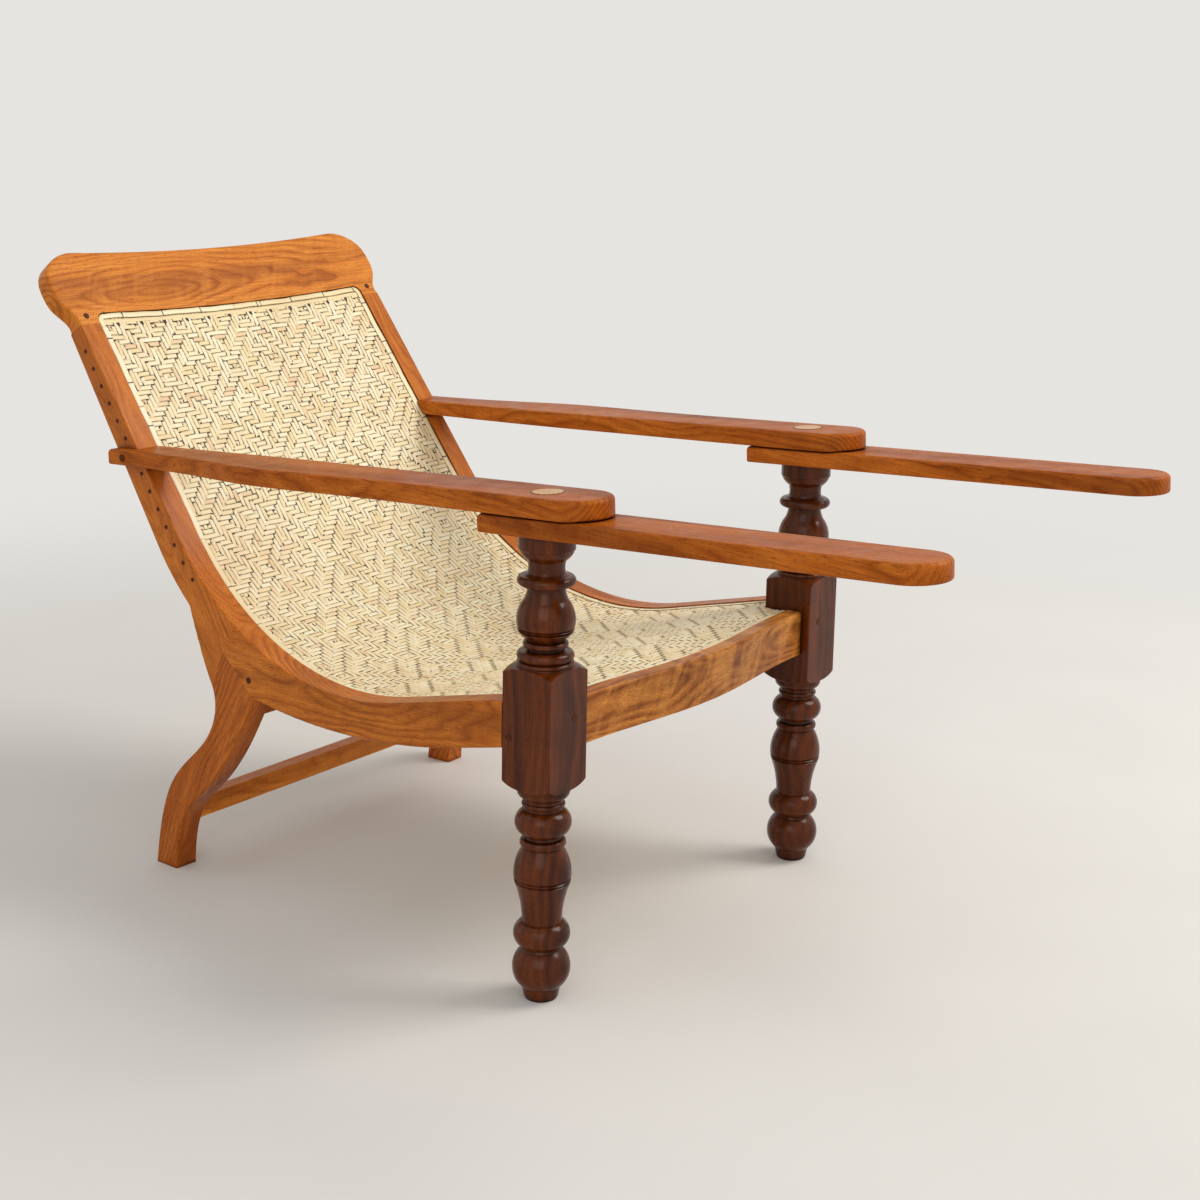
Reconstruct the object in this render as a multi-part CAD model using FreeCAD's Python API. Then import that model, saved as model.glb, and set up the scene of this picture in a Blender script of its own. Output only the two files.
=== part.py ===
"""A planters chair: a reclining armchair whose leg rests swing out from under the arms.

Millimetres. +Z is up and the chair faces -Y, so the sitter's right side is -X.
While it is modelled, y is counted from the axes of the two front legs; at the end everything
is moved so that the origin is the middle of the chair's footprint, on the floor.
The pieces of one side are made for the right side and mirrored for the left.
"""
import FreeCAD, Part
import math
import os

V = FreeCAD.Vector
os.makedirs("parts", exist_ok=True)

# Overall
post_spacing = 606.0          # between the axes of the two turned front legs
post_side = 76.0              # square block of a front leg
back_width = 626.0            # across the outer faces of the stiles, at their tops
overrun = 30.0                # how far cutting tools run past what they cut

# Seat and back, seen from the side: one line from the front rail to the crest
seat_front_height = 394.0
crown_start = 30.0            # y where the level front of the seat starts to fall
crown_radius = 150.0
seat_fall = 13.5              # degrees
seat_run = 174.0              # the straight fall between the crown and the hollow
hollow_radius = 400.0
back_rise = 53.6              # degrees
back_run = 353.0              # the straight back between the hollow and the crest

# Side frame
visible_width = 36.5          # the wood that shows beside the cane
ledge_width = 9.0             # the rebate that carries the edge of the cane
rebate_depth = 6.0
rail_depth = 60.0             # of a seat rail where it meets the front leg
rail_straight = 90.0
stile_depth = 49.0            # at the foot of the back
stile_top_depth = 30.0
joint_angle = 31.2            # degrees round the hollow, where rail and stile meet
seat_space = 200.0            # what is cut away above the seat line
tenon_thickness = 12.0
rail_tenon_length = 30.0      # of the seat rail, in the front leg
scarf_tenon_length = 26.0     # of the seat rail, in the stile
stile_tenon_length = 32.0     # of the stile, in the crest
frame_edge = 2.5              # eased long edges

# Rear leg, sawn from a board to an ogee
leg_kick = 174.0              # how far the foot stands behind the leg's shoulder under the seat rail
shoulder_ahead = 62.2         # that shoulder, in front of the lower end of the scarf
shoulder_under = 57.1         # and below it
leg_thickness = 36.0
leg_tenon_length = 26.0       # up into the seat rail
tail_angle = 42.4             # degrees round the hollow, where the stile's tail leaves it
tail_bulge = 3.0
leg_front_shares = [(0, 1), (0.155, 0.83), (0.32, 0.672), (0.62, 0.462), (0.89, 0.290), (0.975, 0.14), (1, 0)]
leg_rear_shares = [(0.50, 1), (0.475, 0.885), (0.60, 0.724), (0.83, 0.589), (1.03, 0.458), (1.17, 0.27),
                   (1.26, 0)]

# Front leg, turned above and below its block
block_below = 110.0           # how far the block reaches below the seat's front height
block_above = 47.0            # and above it
shoulder_drop = 9.0           # how much the turned shoulder lowers the block's corners
turn_radius = 37.5            # the largest beads and bulbs
block_edge = 2.0

# Arms and leg rests
arm_height = 659.0            # top of the arm over the front leg's axis
arm_slope = 3.15              # degrees down towards the back
arm_thickness = 26.0          # over the leg rest
arm_taper = 4.5               # how much thinner it is at its back end
arm_end_round = 7.0           # in plan, the outer corner of that end
arm_half_width = 45.0
arm_lap = 53.9                # how far its lug runs back past the front face of the stile
rest_thickness = 24.0
rest_width = 86.0
rest_reach = 542.0            # from the axis to the round tip
rest_tail = 78.0              # from the axis to the square end
rest_gap = 0.5                # above and below a leg rest
pin_radius = 19.5             # round tenon that a leg rest turns on
pin_clearance = 0.09
pin_rise = 0.6                # the tenon's end stands proud of the arm
pin_root = 12.0               # how far the tenon is rooted in the turned head
board_round = 6.0             # rounded upper edges of arms and leg rests
board_edge = 3.0              # and their eased lower edges
arm_outer_shares = [(0, -0.98), (0.20, -0.95), (0.385, -1.02), (0.53, -1.18), (0.64, -1.16), (0.74, -0.93),
                    (0.83, -0.78), (0.92, -0.74), (1, -0.78)]
arm_inner_shares = [(1, 0.60), (0.84, 0.72), (0.64, 0.88), (0.385, 0.93), (0.14, 1.00), (0, 1.02)]

# Crest rail
crest_overhang = 19.0         # how far its ends stand out past the stiles
crest_height = 123.0          # above the tops of the stiles, near its ends
crest_dip = 11.0              # how much lower its top edge is in the middle
crest_thickness = 28.0
crest_arch = 18.0             # its lower edge stands this much above the stiles' tops
crest_sag = 8.5               # and hangs this much lower in the middle
crest_corner = 14.0
crest_ledge = 12.0
crest_edge = 4.0              # rounded edges of its outline
crest_lobe_shares = [(0.942, 0.11), (0.986, 0.31), (1, 0.52), (0.985, 0.74), (0.925, 0.905), (0.80, 0.99)]

# Front rail, serpentine in plan
front_height = 64.0
front_face = 24.0             # in front of the legs' axes, at its ends
front_bow = 22.0
front_strip = 22.0            # the wood in front of the cane
front_back_face = 12.0        # behind the legs' axes
front_tenon_length = 38.0
front_edge = 4.0              # rounded top edge

# Cross pieces at the back
cross_thickness = 24.0
cross_height = 62.0
cross_arch = 13.0             # how much its lower edge rises beside the legs
cross_arch_run = 42.0
cross_rise = 7.0              # its top, above the leg's shoulder
cross_behind = 45.0           # its front face, behind the leg's shoulder
stretcher_height = 31.0
stretcher_thickness = 22.0
stretcher_bottom = 72.0
stretcher_behind = 161.0      # its front face, behind the leg's shoulder
cross_tenon = 20.0
cross_shoulder = 6.0          # step from a cross piece's faces to its tenon

# Cane
cane_thickness = 3.0
binder_width = 9.0
binder_thickness = 2.0
cane_gap = 0.3                # round the cane in its rebate

# Pegs
cane_peg_radius = 3.0
cane_peg_pitch = 29.0
cane_peg_depth = 14.0         # behind the front edge of the stile
cane_peg_length = 16.0
peg_radius = 4.5
peg_length = 24.0
peg_rise = 0.5
side_peg_drop = 44.0          # below the seat's front height, on a front leg's outer face
side_peg_offset = 27.0        # from the leg's axis towards the seat rail
front_peg_drop = 17.0         # the same on its front face, towards the front rail
front_peg_offset = 12.0
crest_peg_height = 14.0
arm_peg_lap = 18.8            # behind the front face of the stile
arm_peg_radius = 5.0

# Worked out from the sizes above
post_half = post_side / 2
axis_x = post_spacing / 2
outer_x = axis_x + post_half
inner_x = axis_x - post_half
fall = math.radians(seat_fall)
rise = math.radians(back_rise)
cane_top = rebate_depth - cane_thickness
rail_thickness = visible_width + ledge_width
crest_half_length = back_width / 2 + crest_overhang
tenon_inset = (visible_width - tenon_thickness) / 2


def crown_centre():
    return crown_start, seat_front_height - crown_radius


def hollow_start():
    """Where the straight fall of the seat ends, as y and z."""
    y, z = crown_centre()
    y += crown_radius * math.sin(fall) + seat_run * math.cos(fall)
    z += crown_radius * math.cos(fall) - seat_run * math.sin(fall)
    return y, z


def hollow_centre():
    y, z = hollow_start()
    return y + hollow_radius * math.sin(fall), z + hollow_radius * math.cos(fall)


def on_hollow(angle, depth=0.0):
    """A point of the hollow, at an angle from straight down and a depth below the seat line."""
    y, z = hollow_centre()
    r = hollow_radius + depth
    return V(0, y + r * math.sin(angle), z - r * math.cos(angle))


def on_back(run, depth=0.0):
    """A point of the back, at a distance up from the hollow and a depth behind the front face."""
    start = on_hollow(rise, depth)
    return start + V(0, run * math.cos(rise), run * math.sin(rise))


def joint_top():
    return on_hollow(math.radians(joint_angle))


def joint_bottom():
    return on_hollow(math.radians(joint_angle), stile_depth)


def arm_meets_back():
    """y where the middle of the arm's thickness crosses the front face of the back."""
    start = on_hollow(rise)
    level = arm_height - arm_thickness / 2
    slope = math.tan(math.radians(arm_slope))
    return (start.y * math.tan(rise) + level - start.z) / (math.tan(rise) + slope)


foot_angle = math.atan2(outer_x - back_width / 2, on_back(back_run).y - post_half)
block_bottom, block_top = seat_front_height - block_below, seat_front_height + block_above
leg_y, leg_height = joint_bottom().y - shoulder_ahead, joint_bottom().z - shoulder_under
arm_length = arm_meets_back() + arm_lap      # from the front leg's axis to the rear end


def edge(a, b):
    return Part.makeLine(a, b)


def arc(a, b, c):
    return Part.Arc(a, b, c).toShape()


def spline(points):
    curve = Part.BSplineCurve()
    curve.interpolate(points)
    return curve.toShape()


def slab(edges, start, width):
    """A closed outline in the side plane, made solid from x = start inwards by width."""
    wire = Part.Wire(Part.__sortEdges__(edges))
    face = Part.Face(wire)
    face.translate(V(start, 0, 0))
    return face.extrude(V(width, 0, 0))


def polygon_slab(points, start, width):
    return slab([edge(a, b) for a, b in zip(points, points[1:] + points[:1])], start, width)


def seat_line(depth):
    """The seat and back line at a depth below its face, from the front rail up into the crest."""
    cy, cz = crown_centre()
    r = crown_radius - depth
    level = V(0, cy, cz + r)
    front = V(0, -front_face - front_bow - overrun, cz + r)
    half = V(0, cy + r * math.sin(fall / 2), cz + r * math.cos(fall / 2))
    crown_end = V(0, cy + r * math.sin(fall), cz + r * math.cos(fall))
    start, end = on_hollow(-fall, depth), on_hollow(rise, depth)
    middle = on_hollow((rise - fall) / 2, depth)
    top = on_back(back_run + crest_height, depth)
    return [edge(front, level), arc(level, half, crown_end), edge(crown_end, start), arc(start, middle, end),
            edge(end, top)]


def band(upper, lower, start, width):
    """The solid between two depths below the seat line, from x = start by width."""
    above, below = seat_line(upper), seat_line(lower)
    ends = [edge(above[0].Vertexes[0].Point, below[0].Vertexes[0].Point),
            edge(above[-1].Vertexes[-1].Point, below[-1].Vertexes[-1].Point)]
    return slab(above + below + ends, start, width)


def place_side(shape):
    """Turns a side piece, made with its outer face at x = 0, to the toed-in right side frame."""
    placed = shape.copy()
    placed.rotate(V(0, post_half, 0), V(0, 0, 1), -math.degrees(foot_angle))
    placed.translate(V(-outer_x, 0, 0))
    return placed


def unplaced(shape):
    """The reverse of place_side, for a cut that has to match the pieces between the sides."""
    local = shape.copy()
    local.translate(V(outer_x, 0, 0))
    local.rotate(V(0, post_half, 0), V(0, 0, 1), math.degrees(foot_angle))
    return local


def side_half(y, inset):
    """Half the width between the side frames at y, inset from their outer faces."""
    return outer_x - (y - post_half) * math.tan(foot_angle) - inset / math.cos(foot_angle)


def between_sides(inset, y0, y1, z0, z1):
    """An upright prism between the side frames."""
    a, b = side_half(y0, inset), side_half(y1, inset)
    points = [V(-a, y0, z0), V(a, y0, z0), V(b, y1, z0), V(-b, y1, z0)]
    face = Part.Face(Part.makePolygon(points + points[:1]))
    return face.extrude(V(0, 0, z1 - z0))


def place_back(shape):
    """Stands a piece drawn flat, x across, y up from the stiles' tops and -z into the wood, on the back."""
    placed = shape.copy()
    placed.rotate(V(0, 0, 0), V(1, 0, 0), back_rise)
    placed.translate(on_back(back_run))
    return placed


def place_arm(shape):
    """Lays a piece drawn about the pivot, with z down from the arm's top, on the right arm's slope."""
    placed = shape.copy()
    placed.rotate(V(0, 0, 0), V(1, 0, 0), -arm_slope)
    placed.translate(V(-axis_x, 0, arm_height))
    return placed


def mirrored(shape):
    return shape.mirror(V(0, 0, 0), V(1, 0, 0))


def box(x0, x1, y0, y1, z0, z1):
    return Part.makeBox(x1 - x0, y1 - y0, z1 - z0, V(x0, y0, z0))


def rod(radius, start, direction, length):
    return Part.makeCylinder(radius, length, start, direction)


def joined(first, *others):
    return first.fuse(list(others)).removeSplitter()


def eased(board, thickness):
    """A board, its top at z = 0, with the edges of its upper face rounded and of its lower face eased."""
    def rims(shape, upper):
        ends = [(line, [p.Point.z for p in line.Vertexes]) for line in shape.Edges]
        flat = [line for line, z in ends if abs(z[0] - z[-1]) < thickness / 2]
        return [line for line in flat if (middle_of(line).z > -thickness / 2) == upper]
    rounded = board.makeFillet(board_edge, rims(board, False))
    return rounded.makeFillet(board_round, [line for line in rims(rounded, True) if middle_of(line).z > -cane_gap])


# Turned front leg

# The turning as (height share, radius share) between two heights; a middle point makes an arc.
lower_shares = [
    [(0, 0.56), (0.012, 0.60)], [(0.012, 0.60), (0.056, 0.66)],
    [(0.056, 0.66), (0.148, 1.00), (0.236, 0.70)],
    [(0.236, 0.70), (0.246, 0.66)], [(0.246, 0.66), (0.252, 0.74)],
    [(0.252, 0.74), (0.306, 0.975), (0.362, 0.76)],
    [(0.362, 0.76), (0.366, 0.68)], [(0.366, 0.68), (0.45, 0.74), (0.553, 0.955)],
    [(0.553, 0.955), (0.558, 0.915)], [(0.558, 0.915), (0.565, 0.975)], [(0.565, 0.975), (0.572, 0.925)],
    [(0.572, 0.925), (0.580, 0.985)],
    [(0.580, 0.985), (0.645, 0.94), (0.717, 0.70)],
    [(0.717, 0.70), (0.722, 0.74)], [(0.722, 0.74), (0.738, 0.79), (0.754, 0.74)],
    [(0.754, 0.74), (0.760, 0.63)],
    [(0.760, 0.63), (0.772, 0.63)],
    [(0.772, 0.63), (0.836, 0.965), (0.894, 0.66)],
    [(0.894, 0.66), (0.906, 0.66)], [(0.906, 0.66), (0.918, 0.74), (0.930, 0.68)],
    [(0.930, 0.68), (0.945, 0.68)], [(0.945, 0.68), (0.968, 0.88), (0.99, 0.90)], [(0.99, 0.90), (1, 0.95)],
]
upper_shares = [
    [(0, 0.97), (0.006, 0.955)], [(0.006, 0.955), (0.022, 0.975), (0.038, 0.91)],
    [(0.038, 0.91), (0.044, 0.87)], [(0.044, 0.87), (0.078, 0.965), (0.112, 0.72)],
    [(0.112, 0.72), (0.124, 0.61)], [(0.124, 0.61), (0.140, 0.60)],
    [(0.140, 0.60), (0.166, 0.765), (0.192, 0.64)], [(0.192, 0.64), (0.205, 0.66)],
    [(0.205, 0.66), (0.226, 0.80), (0.262, 0.93)],
    [(0.262, 0.93), (0.268, 0.89)], [(0.268, 0.89), (0.280, 0.955)], [(0.280, 0.955), (0.288, 0.915)],
    [(0.288, 0.915), (0.298, 0.965)],
    [(0.298, 0.965), (0.40, 0.96), (0.50, 0.75)],
    [(0.50, 0.75), (0.55, 0.66), (0.608, 0.63)], [(0.608, 0.63), (0.612, 0.72)],
    [(0.612, 0.72), (0.648, 0.98), (0.684, 0.78)], [(0.684, 0.78), (0.700, 0.64)],
    [(0.700, 0.64), (0.745, 0.61), (0.79, 0.64)], [(0.79, 0.64), (0.80, 0.66)],
    [(0.80, 0.66), (0.845, 0.86), (0.88, 0.93)], [(0.88, 0.93), (0.885, 0.955)],
    [(0.885, 0.955), (1.03, 0.955)],
]


def turned(shares, bottom, top):
    """A round solid from a row of straight and curved steps."""
    height = top - bottom

    def at(step):
        return V(step[1] * turn_radius, 0, bottom + step[0] * height)
    edges = []
    for step in shares:
        points = [at(s) for s in step]
        edges.append(edge(*points) if len(points) == 2 else arc(*points))
    low, high = at(shares[0][0]), at(shares[-1][-1])
    foot, head = V(0, 0, low.z), V(0, 0, high.z)
    edges += [edge(foot, low), edge(high, head), edge(head, foot)]
    face = Part.Face(Part.Wire(Part.__sortEdges__(edges)))
    return face.revolve(V(0, 0, 0), V(0, 0, 1), 360)


def block():
    """The square of the leg, its ends cut by the lathe so that each face ends in an arch."""
    square = box(-post_half, post_half, -post_half, post_half, block_bottom, block_top)
    upright = [line for line in square.Edges if abs(line.tangentAt(line.FirstParameter).z) > 0.5]
    square = square.makeFillet(block_edge, upright)
    corner = post_half * math.sqrt(2)
    middle = (post_half + corner) / 2
    high_middle, low_middle = block_top - shoulder_drop / 3, block_bottom + shoulder_drop / 3
    top, high = V(post_half, 0, block_top), V(corner, 0, block_top - shoulder_drop)
    bottom, low = V(post_half, 0, block_bottom), V(corner, 0, block_bottom + shoulder_drop)
    edges = [arc(top, V(middle, 0, high_middle), high), edge(high, low),
             arc(low, V(middle, 0, low_middle), bottom), edge(bottom, V(0, 0, block_bottom)),
             edge(V(0, 0, block_bottom), V(0, 0, block_top)), edge(V(0, 0, block_top), top)]
    shoulders = Part.Face(Part.Wire(Part.__sortEdges__(edges))).revolve(V(0, 0, 0), V(0, 0, 1), 360)
    return square.common(shoulders)


def pin(radius, top, bottom):
    """The round tenon, or the hole for it, square to the arm, between two levels below the arm's top."""
    return place_arm(rod(radius, V(0, 0, -bottom), V(0, 0, 1), bottom - top))


def front_leg():
    head = arm_height - arm_thickness - rest_thickness - rest_gap
    round_parts = [turned(lower_shares, 0, block_bottom), turned(upper_shares, block_top, head)]
    leg = joined(block(), *round_parts)
    leg.translate(V(-axis_x, 0, 0))
    seat = arm_thickness + rest_thickness + rest_gap + rest_gap
    above = place_arm(box(-post_side, post_side, -post_side, post_side, -seat, 0))
    leg = leg.cut(above)
    return joined(leg, pin(pin_radius, -pin_rise, seat + pin_root))


# Side frame

def leg_point(share):
    return V(0, leg_y + share[0] * leg_kick, share[1] * leg_height)


def tongue(a, b, length):
    """A tenon standing on the joint line from a to b, to the left of that direction."""
    along = (b - a).normalize()
    out = V(0, -along.z, along.y) * length
    root = V(0, along.z, -along.y) * tenon_thickness
    start, end = a + along * tenon_thickness, b - along * tenon_thickness
    return polygon_slab([start + root, end + root, end + out, start + out], tenon_inset, tenon_thickness)


def rail_tenon():
    """The seat rail's tenon in the front leg."""
    x0 = (post_side - tenon_thickness) / 2
    top = seat_front_height - rebate_depth - tenon_thickness
    return box(x0, x0 + tenon_thickness, post_half - rail_tenon_length, post_half + tenon_thickness,
               top - rail_depth / 2, top)


def scarf_tenon():
    """The seat rail's tenon in the stile."""
    return tongue(joint_top(), joint_bottom(), scarf_tenon_length)


def leg_tenon():
    """The rear leg's tenon in the seat rail."""
    return tongue(leg_point(leg_front_shares[0]), joint_bottom(), leg_tenon_length)


def stile_tenon():
    """The stile's tenon in the crest."""
    front = (stile_top_depth - tenon_thickness) / 2
    low, high = back_run - tenon_thickness, back_run + stile_tenon_length
    corners = [(low, front), (high, front), (high, front + tenon_thickness), (low, front + tenon_thickness)]
    return polygon_slab([on_back(*c) for c in corners], tenon_inset, tenon_thickness)


def middle_of(line):
    return line.valueAt((line.FirstParameter + line.LastParameter) / 2)


def eased_outside(piece, joints):
    """A side piece with the edges of its outer face rounded, but for those at its joints."""
    def free(line):
        middle = middle_of(line)
        outside = all(abs(p.Point.x) < cane_gap for p in line.Vertexes)
        return outside and all(j.distToShape(Part.Vertex(middle))[0] > frame_edge for j in joints)
    return piece.makeFillet(frame_edge, [line for line in piece.Edges if free(line)])


def framed(runs, joints, cut_joints=()):
    """A piece of the side frame: cut to the seat line, stepped for the cane and eased along its edges."""
    whole = slab(runs + joints, 0, rail_thickness)
    above = band(-seat_space, 0, -outer_x - overrun, outer_x + overrun)
    step = band(-overrun, rebate_depth, -outer_x - overrun, outer_x + overrun)
    inside = box(visible_width, outer_x, -outer_x, arm_height * 2, 0, arm_height * 2)
    piece = whole.cut(unplaced(above)).cut(unplaced(step).common(inside))
    return eased_outside(piece.cut(unplaced(over_stiles())), joints + list(cut_joints))


def over_stiles():
    """The space above the stiles' tops, square to the back."""
    across = outer_x + overrun
    return place_back(box(-across, across, 0, crest_height, -post_side, post_side))


def seat_rail():
    """From the front leg to the scarf in the bend, over the shoulder of the rear leg."""
    cut_top = on_hollow(math.radians(joint_angle), -overrun)
    front_top = V(0, post_half, seat_front_height + overrun)
    front_bottom = V(0, post_half, seat_front_height - rail_depth)
    turn = front_bottom + V(0, rail_straight * math.cos(fall), -rail_straight * math.sin(fall))
    shoulder = leg_point(leg_front_shares[0])
    chord = shoulder - turn
    bend = math.atan2(-chord.z, chord.y) - fall
    sagitta = chord.Length / 2 * math.tan(abs(bend) / 2)
    below = V(0, -chord.z, chord.y).normalize() * -sagitta
    runs = [edge(front_bottom, turn), arc(turn, turn + chord / 2 + below, shoulder), edge(cut_top, front_top)]
    low = joint_bottom()
    return framed(runs, [edge(front_top, front_bottom), edge(shoulder, low), edge(low, cut_top)])


def back_stile():
    """From the scarf up to the crest, with a tail that runs down behind the head of the rear leg."""
    angle, tail = math.radians(joint_angle), math.radians(tail_angle)
    cut_top = on_hollow(angle, -overrun)
    low, leave, turn = joint_bottom(), on_hollow(tail, stile_depth), on_hollow(rise, stile_depth)
    end = leg_point(leg_rear_shares[0])
    drop = end - leave
    out = V(0, -drop.z, drop.y).normalize() * tail_bulge
    rear_top, front_top = on_back(back_run, stile_top_depth), on_back(back_run, -overrun)
    beyond = on_back(back_run + overrun) - on_back(back_run)
    rear_end, front_end = rear_top + beyond, front_top + beyond
    middle = on_hollow((tail + rise) / 2, stile_depth)
    runs = [arc(end, leave + drop / 2 + out, leave), arc(leave, middle, turn), edge(turn, rear_top),
            edge(rear_top, rear_end), edge(front_end, cut_top)]
    crown = edge(rear_end, front_end)
    return framed(runs + [crown], [edge(cut_top, low), edge(low, end)], [edge(rear_top, front_top)])


def rear_leg():
    """An ogee from its wedge-shaped head, between the seat rail and the stile's tail, back to the foot."""
    low = joint_bottom()
    front, rear = [leg_point(s) for s in leg_front_shares], [leg_point(s) for s in leg_rear_shares]
    joints = [edge(front[-1], rear[-1]), edge(rear[0], low), edge(low, front[0])]
    return eased_outside(slab([spline(front), spline(rear)] + joints, 0, leg_thickness), joints)


# Arms and leg rests

def arm_edge(shares):
    return [V(s[1] * arm_half_width, s[0] * arm_length, 0) for s in shares]


def arm_profile():
    """The arm seen from the side: its underside curves up towards the back."""
    front, back, across = -arm_half_width * 2, arm_length, arm_half_width * 2
    low = [V(-across, front, -arm_thickness), V(-across, (front + back) / 2, -arm_thickness),
           V(-across, back, arm_taper - arm_thickness)]
    under = Part.BezierCurve()
    under.setPoles(low)
    high = [V(-across, back, overrun), V(-across, front, overrun)]
    return slab([under.toShape(), edge(low[-1], high[0]), edge(*high), edge(high[1], low[0])], 0, across * 2)


def armrest():
    """A serpentine board with a round front, notched over the stile behind."""
    outer, inner = arm_edge(arm_outer_shares), arm_edge(arm_inner_shares)
    nose = V((outer[0].x + inner[-1].x) / 2, -arm_half_width * 2, 0)
    cheeks = [V(outer[0].x, -arm_half_width, 0), V(inner[-1].x, -arm_half_width, 0)]
    edges = [spline(outer), edge(outer[-1], inner[0]), spline(inner), edge(inner[-1], cheeks[1]),
             arc(cheeks[1], nose, cheeks[0]), edge(cheeks[0], outer[0])]
    face = Part.Face(Part.Wire(Part.__sortEdges__(edges)))
    whole = face.extrude(V(0, 0, -arm_thickness * 2)).common(arm_profile())

    def end_corner(line):
        a, b = line.Vertexes[0].Point, line.Vertexes[-1].Point
        return all(abs(p.y - outer[-1].y) + abs(p.x - outer[-1].x) < cane_gap for p in (a, b))
    whole = whole.makeFillet(arm_end_round, [line for line in whole.Edges if end_corner(line)])
    arm = place_arm(eased(whole, arm_thickness))
    behind = on_hollow(rise).y + arm_length
    low, high = on_back(-hollow_radius), on_back(back_run)
    notch = polygon_slab([low, high, V(0, behind, high.z), V(0, behind, low.z)], -outer_x, outer_x)
    inside = place_side(box(0, outer_x, -outer_x, arm_height * 2, 0, arm_height * 2))
    return arm.cut(notch.common(inside)).cut(pin(pin_radius, -arm_thickness, arm_thickness * 2))


def leg_rest():
    """The swinging board: a square inner end, a hole for the tenon and a round tip."""
    half = rest_width / 2
    tip = -rest_reach
    tail = [V(-half, rest_tail, 0), V(half, rest_tail, 0)]
    cheek = [V(half, tip + half, 0), V(-half, tip + half, 0)]
    edges = [edge(tail[0], tail[1]), edge(tail[1], cheek[0]), arc(cheek[0], V(0, tip, 0), cheek[1]),
             edge(cheek[1], tail[0])]
    face = Part.Face(Part.Wire(Part.__sortEdges__(edges)))
    board = eased(face.extrude(V(0, 0, -rest_thickness)), rest_thickness)
    board.translate(V(0, 0, -arm_thickness - rest_gap))
    return place_arm(board).cut(pin(pin_radius + pin_clearance, 0, arm_thickness + rest_thickness * 2))


# Crest

def panel_head(gap, top, deep):
    """The upper end of the cane in the crest, with rounded corners, drawn flat for place_back."""
    half = side_half(on_back(back_run).y, visible_width) - gap
    high = crest_arch - gap
    feet = [V(-half, -crest_height, -deep), V(half, -crest_height, -deep)]
    ends = [V(half, high, -deep), V(-half, high, -deep)]
    edges = [edge(feet[0], feet[1]), edge(feet[1], ends[0]), edge(ends[1], feet[0]),
             arc(ends[0], V(0, high - crest_sag, -deep), ends[1])]
    head = Part.Face(Part.Wire(Part.__sortEdges__(edges))).extrude(V(0, 0, top + deep))

    def corner(line):
        upper = all(abs(p.Point.y - high) < cane_gap / 2 for p in line.Vertexes)
        return upper and abs(line.tangentAt(line.FirstParameter).z) > 0.5
    return head.makeFillet(crest_corner, [line for line in head.Edges if corner(line)])


def crest_rail():
    """A board with lobed ends, its lower edge stepped to take the cane."""
    outer = back_width / 2
    inner = outer - visible_width
    low = crest_arch - crest_ledge
    lobe = [V(outer, 0, 0)] + [V(s[0] * crest_half_length, s[1] * crest_height, 0) for s in crest_lobe_shares]
    dip = V(0, crest_height - crest_dip, 0)

    def left(p):
        return V(-p.x, p.y, 0)
    foot = [V(outer, 0, 0), V(inner, 0, 0), V(inner - crest_corner, low, 0)]
    edges = [edge(a, b) for a, b in zip(foot, foot[1:])]
    edges += [edge(left(a), left(b)) for a, b in zip(foot, foot[1:])]
    edges += [arc(foot[-1], V(0, low - crest_sag, 0), left(foot[-1]))]
    edges += [spline(lobe), arc(lobe[-1], dip, left(lobe[-1])), spline([left(p) for p in lobe])]
    face = Part.Face(Part.Wire(Part.__sortEdges__(edges)))
    board = face.extrude(V(0, 0, -crest_thickness))

    def rim(line):
        flat = abs(line.Vertexes[0].Point.z - line.Vertexes[-1].Point.z) < cane_gap
        return flat and middle_of(line).y > crest_arch
    board = board.makeFillet(crest_edge, [line for line in board.Edges if rim(line)])
    return place_back(board.cut(panel_head(0, overrun, rebate_depth)))


# Front rail

def bow_line(behind):
    """The serpentine front as a plan curve, moved back by a distance."""
    count = 17
    points = []
    for i in range(count):
        x = inner_x * (2 * i / (count - 1) - 1)
        bow = front_bow * math.cos(math.pi * x / (2 * inner_x)) ** 2
        points.append(V(x, behind - front_face - bow, 0))
    return points


def bow_slab(behind, back, bottom, top):
    """The upright solid between the bowed line and a straight face behind it."""
    points = bow_line(behind)
    a, b = points[0], points[-1]
    edges = [spline(points), edge(b, V(b.x, back, 0)), edge(V(b.x, back, 0), V(a.x, back, 0)),
             edge(V(a.x, back, 0), a)]
    face = Part.Face(Part.Wire(Part.__sortEdges__(edges)))
    face.translate(V(0, 0, bottom))
    return face.extrude(V(0, 0, top - bottom))


def front_tenons():
    """The tenons at both ends of the front rail, as one bar."""
    half = inner_x + front_tenon_length
    y0 = (front_back_face - front_face - tenon_thickness) / 2
    top = seat_front_height - rebate_depth
    return box(-half, half, y0, y0 + tenon_thickness, top - front_height / 2, top)


def front_top_edge(line):
    """Whether an edge is the upper one of the bowed face."""
    middle = middle_of(line)
    ends = line.Vertexes[0].Point.distanceToPoint(line.Vertexes[-1].Point)
    return middle.y < -front_face and middle.z > seat_front_height - front_edge and ends > inner_x


def front_rail():
    body = bow_slab(0, front_back_face, seat_front_height - front_height, seat_front_height)
    body = body.makeFillet(front_edge, [line for line in body.Edges if front_top_edge(line)])
    step = bow_slab(front_strip, front_back_face + overrun, seat_front_height - rebate_depth,
                    seat_front_height + overrun)
    return joined(body.cut(step), front_tenons())


# Cross pieces at the back

def cross_piece(y, bottom, height, thickness):
    """A board between the rear legs."""
    board = box(-outer_x, outer_x, y, y + thickness, bottom, bottom + height)
    return board.common(between_sides(leg_thickness, y - overrun, y + thickness + overrun, 0, leg_height * 2))


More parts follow.
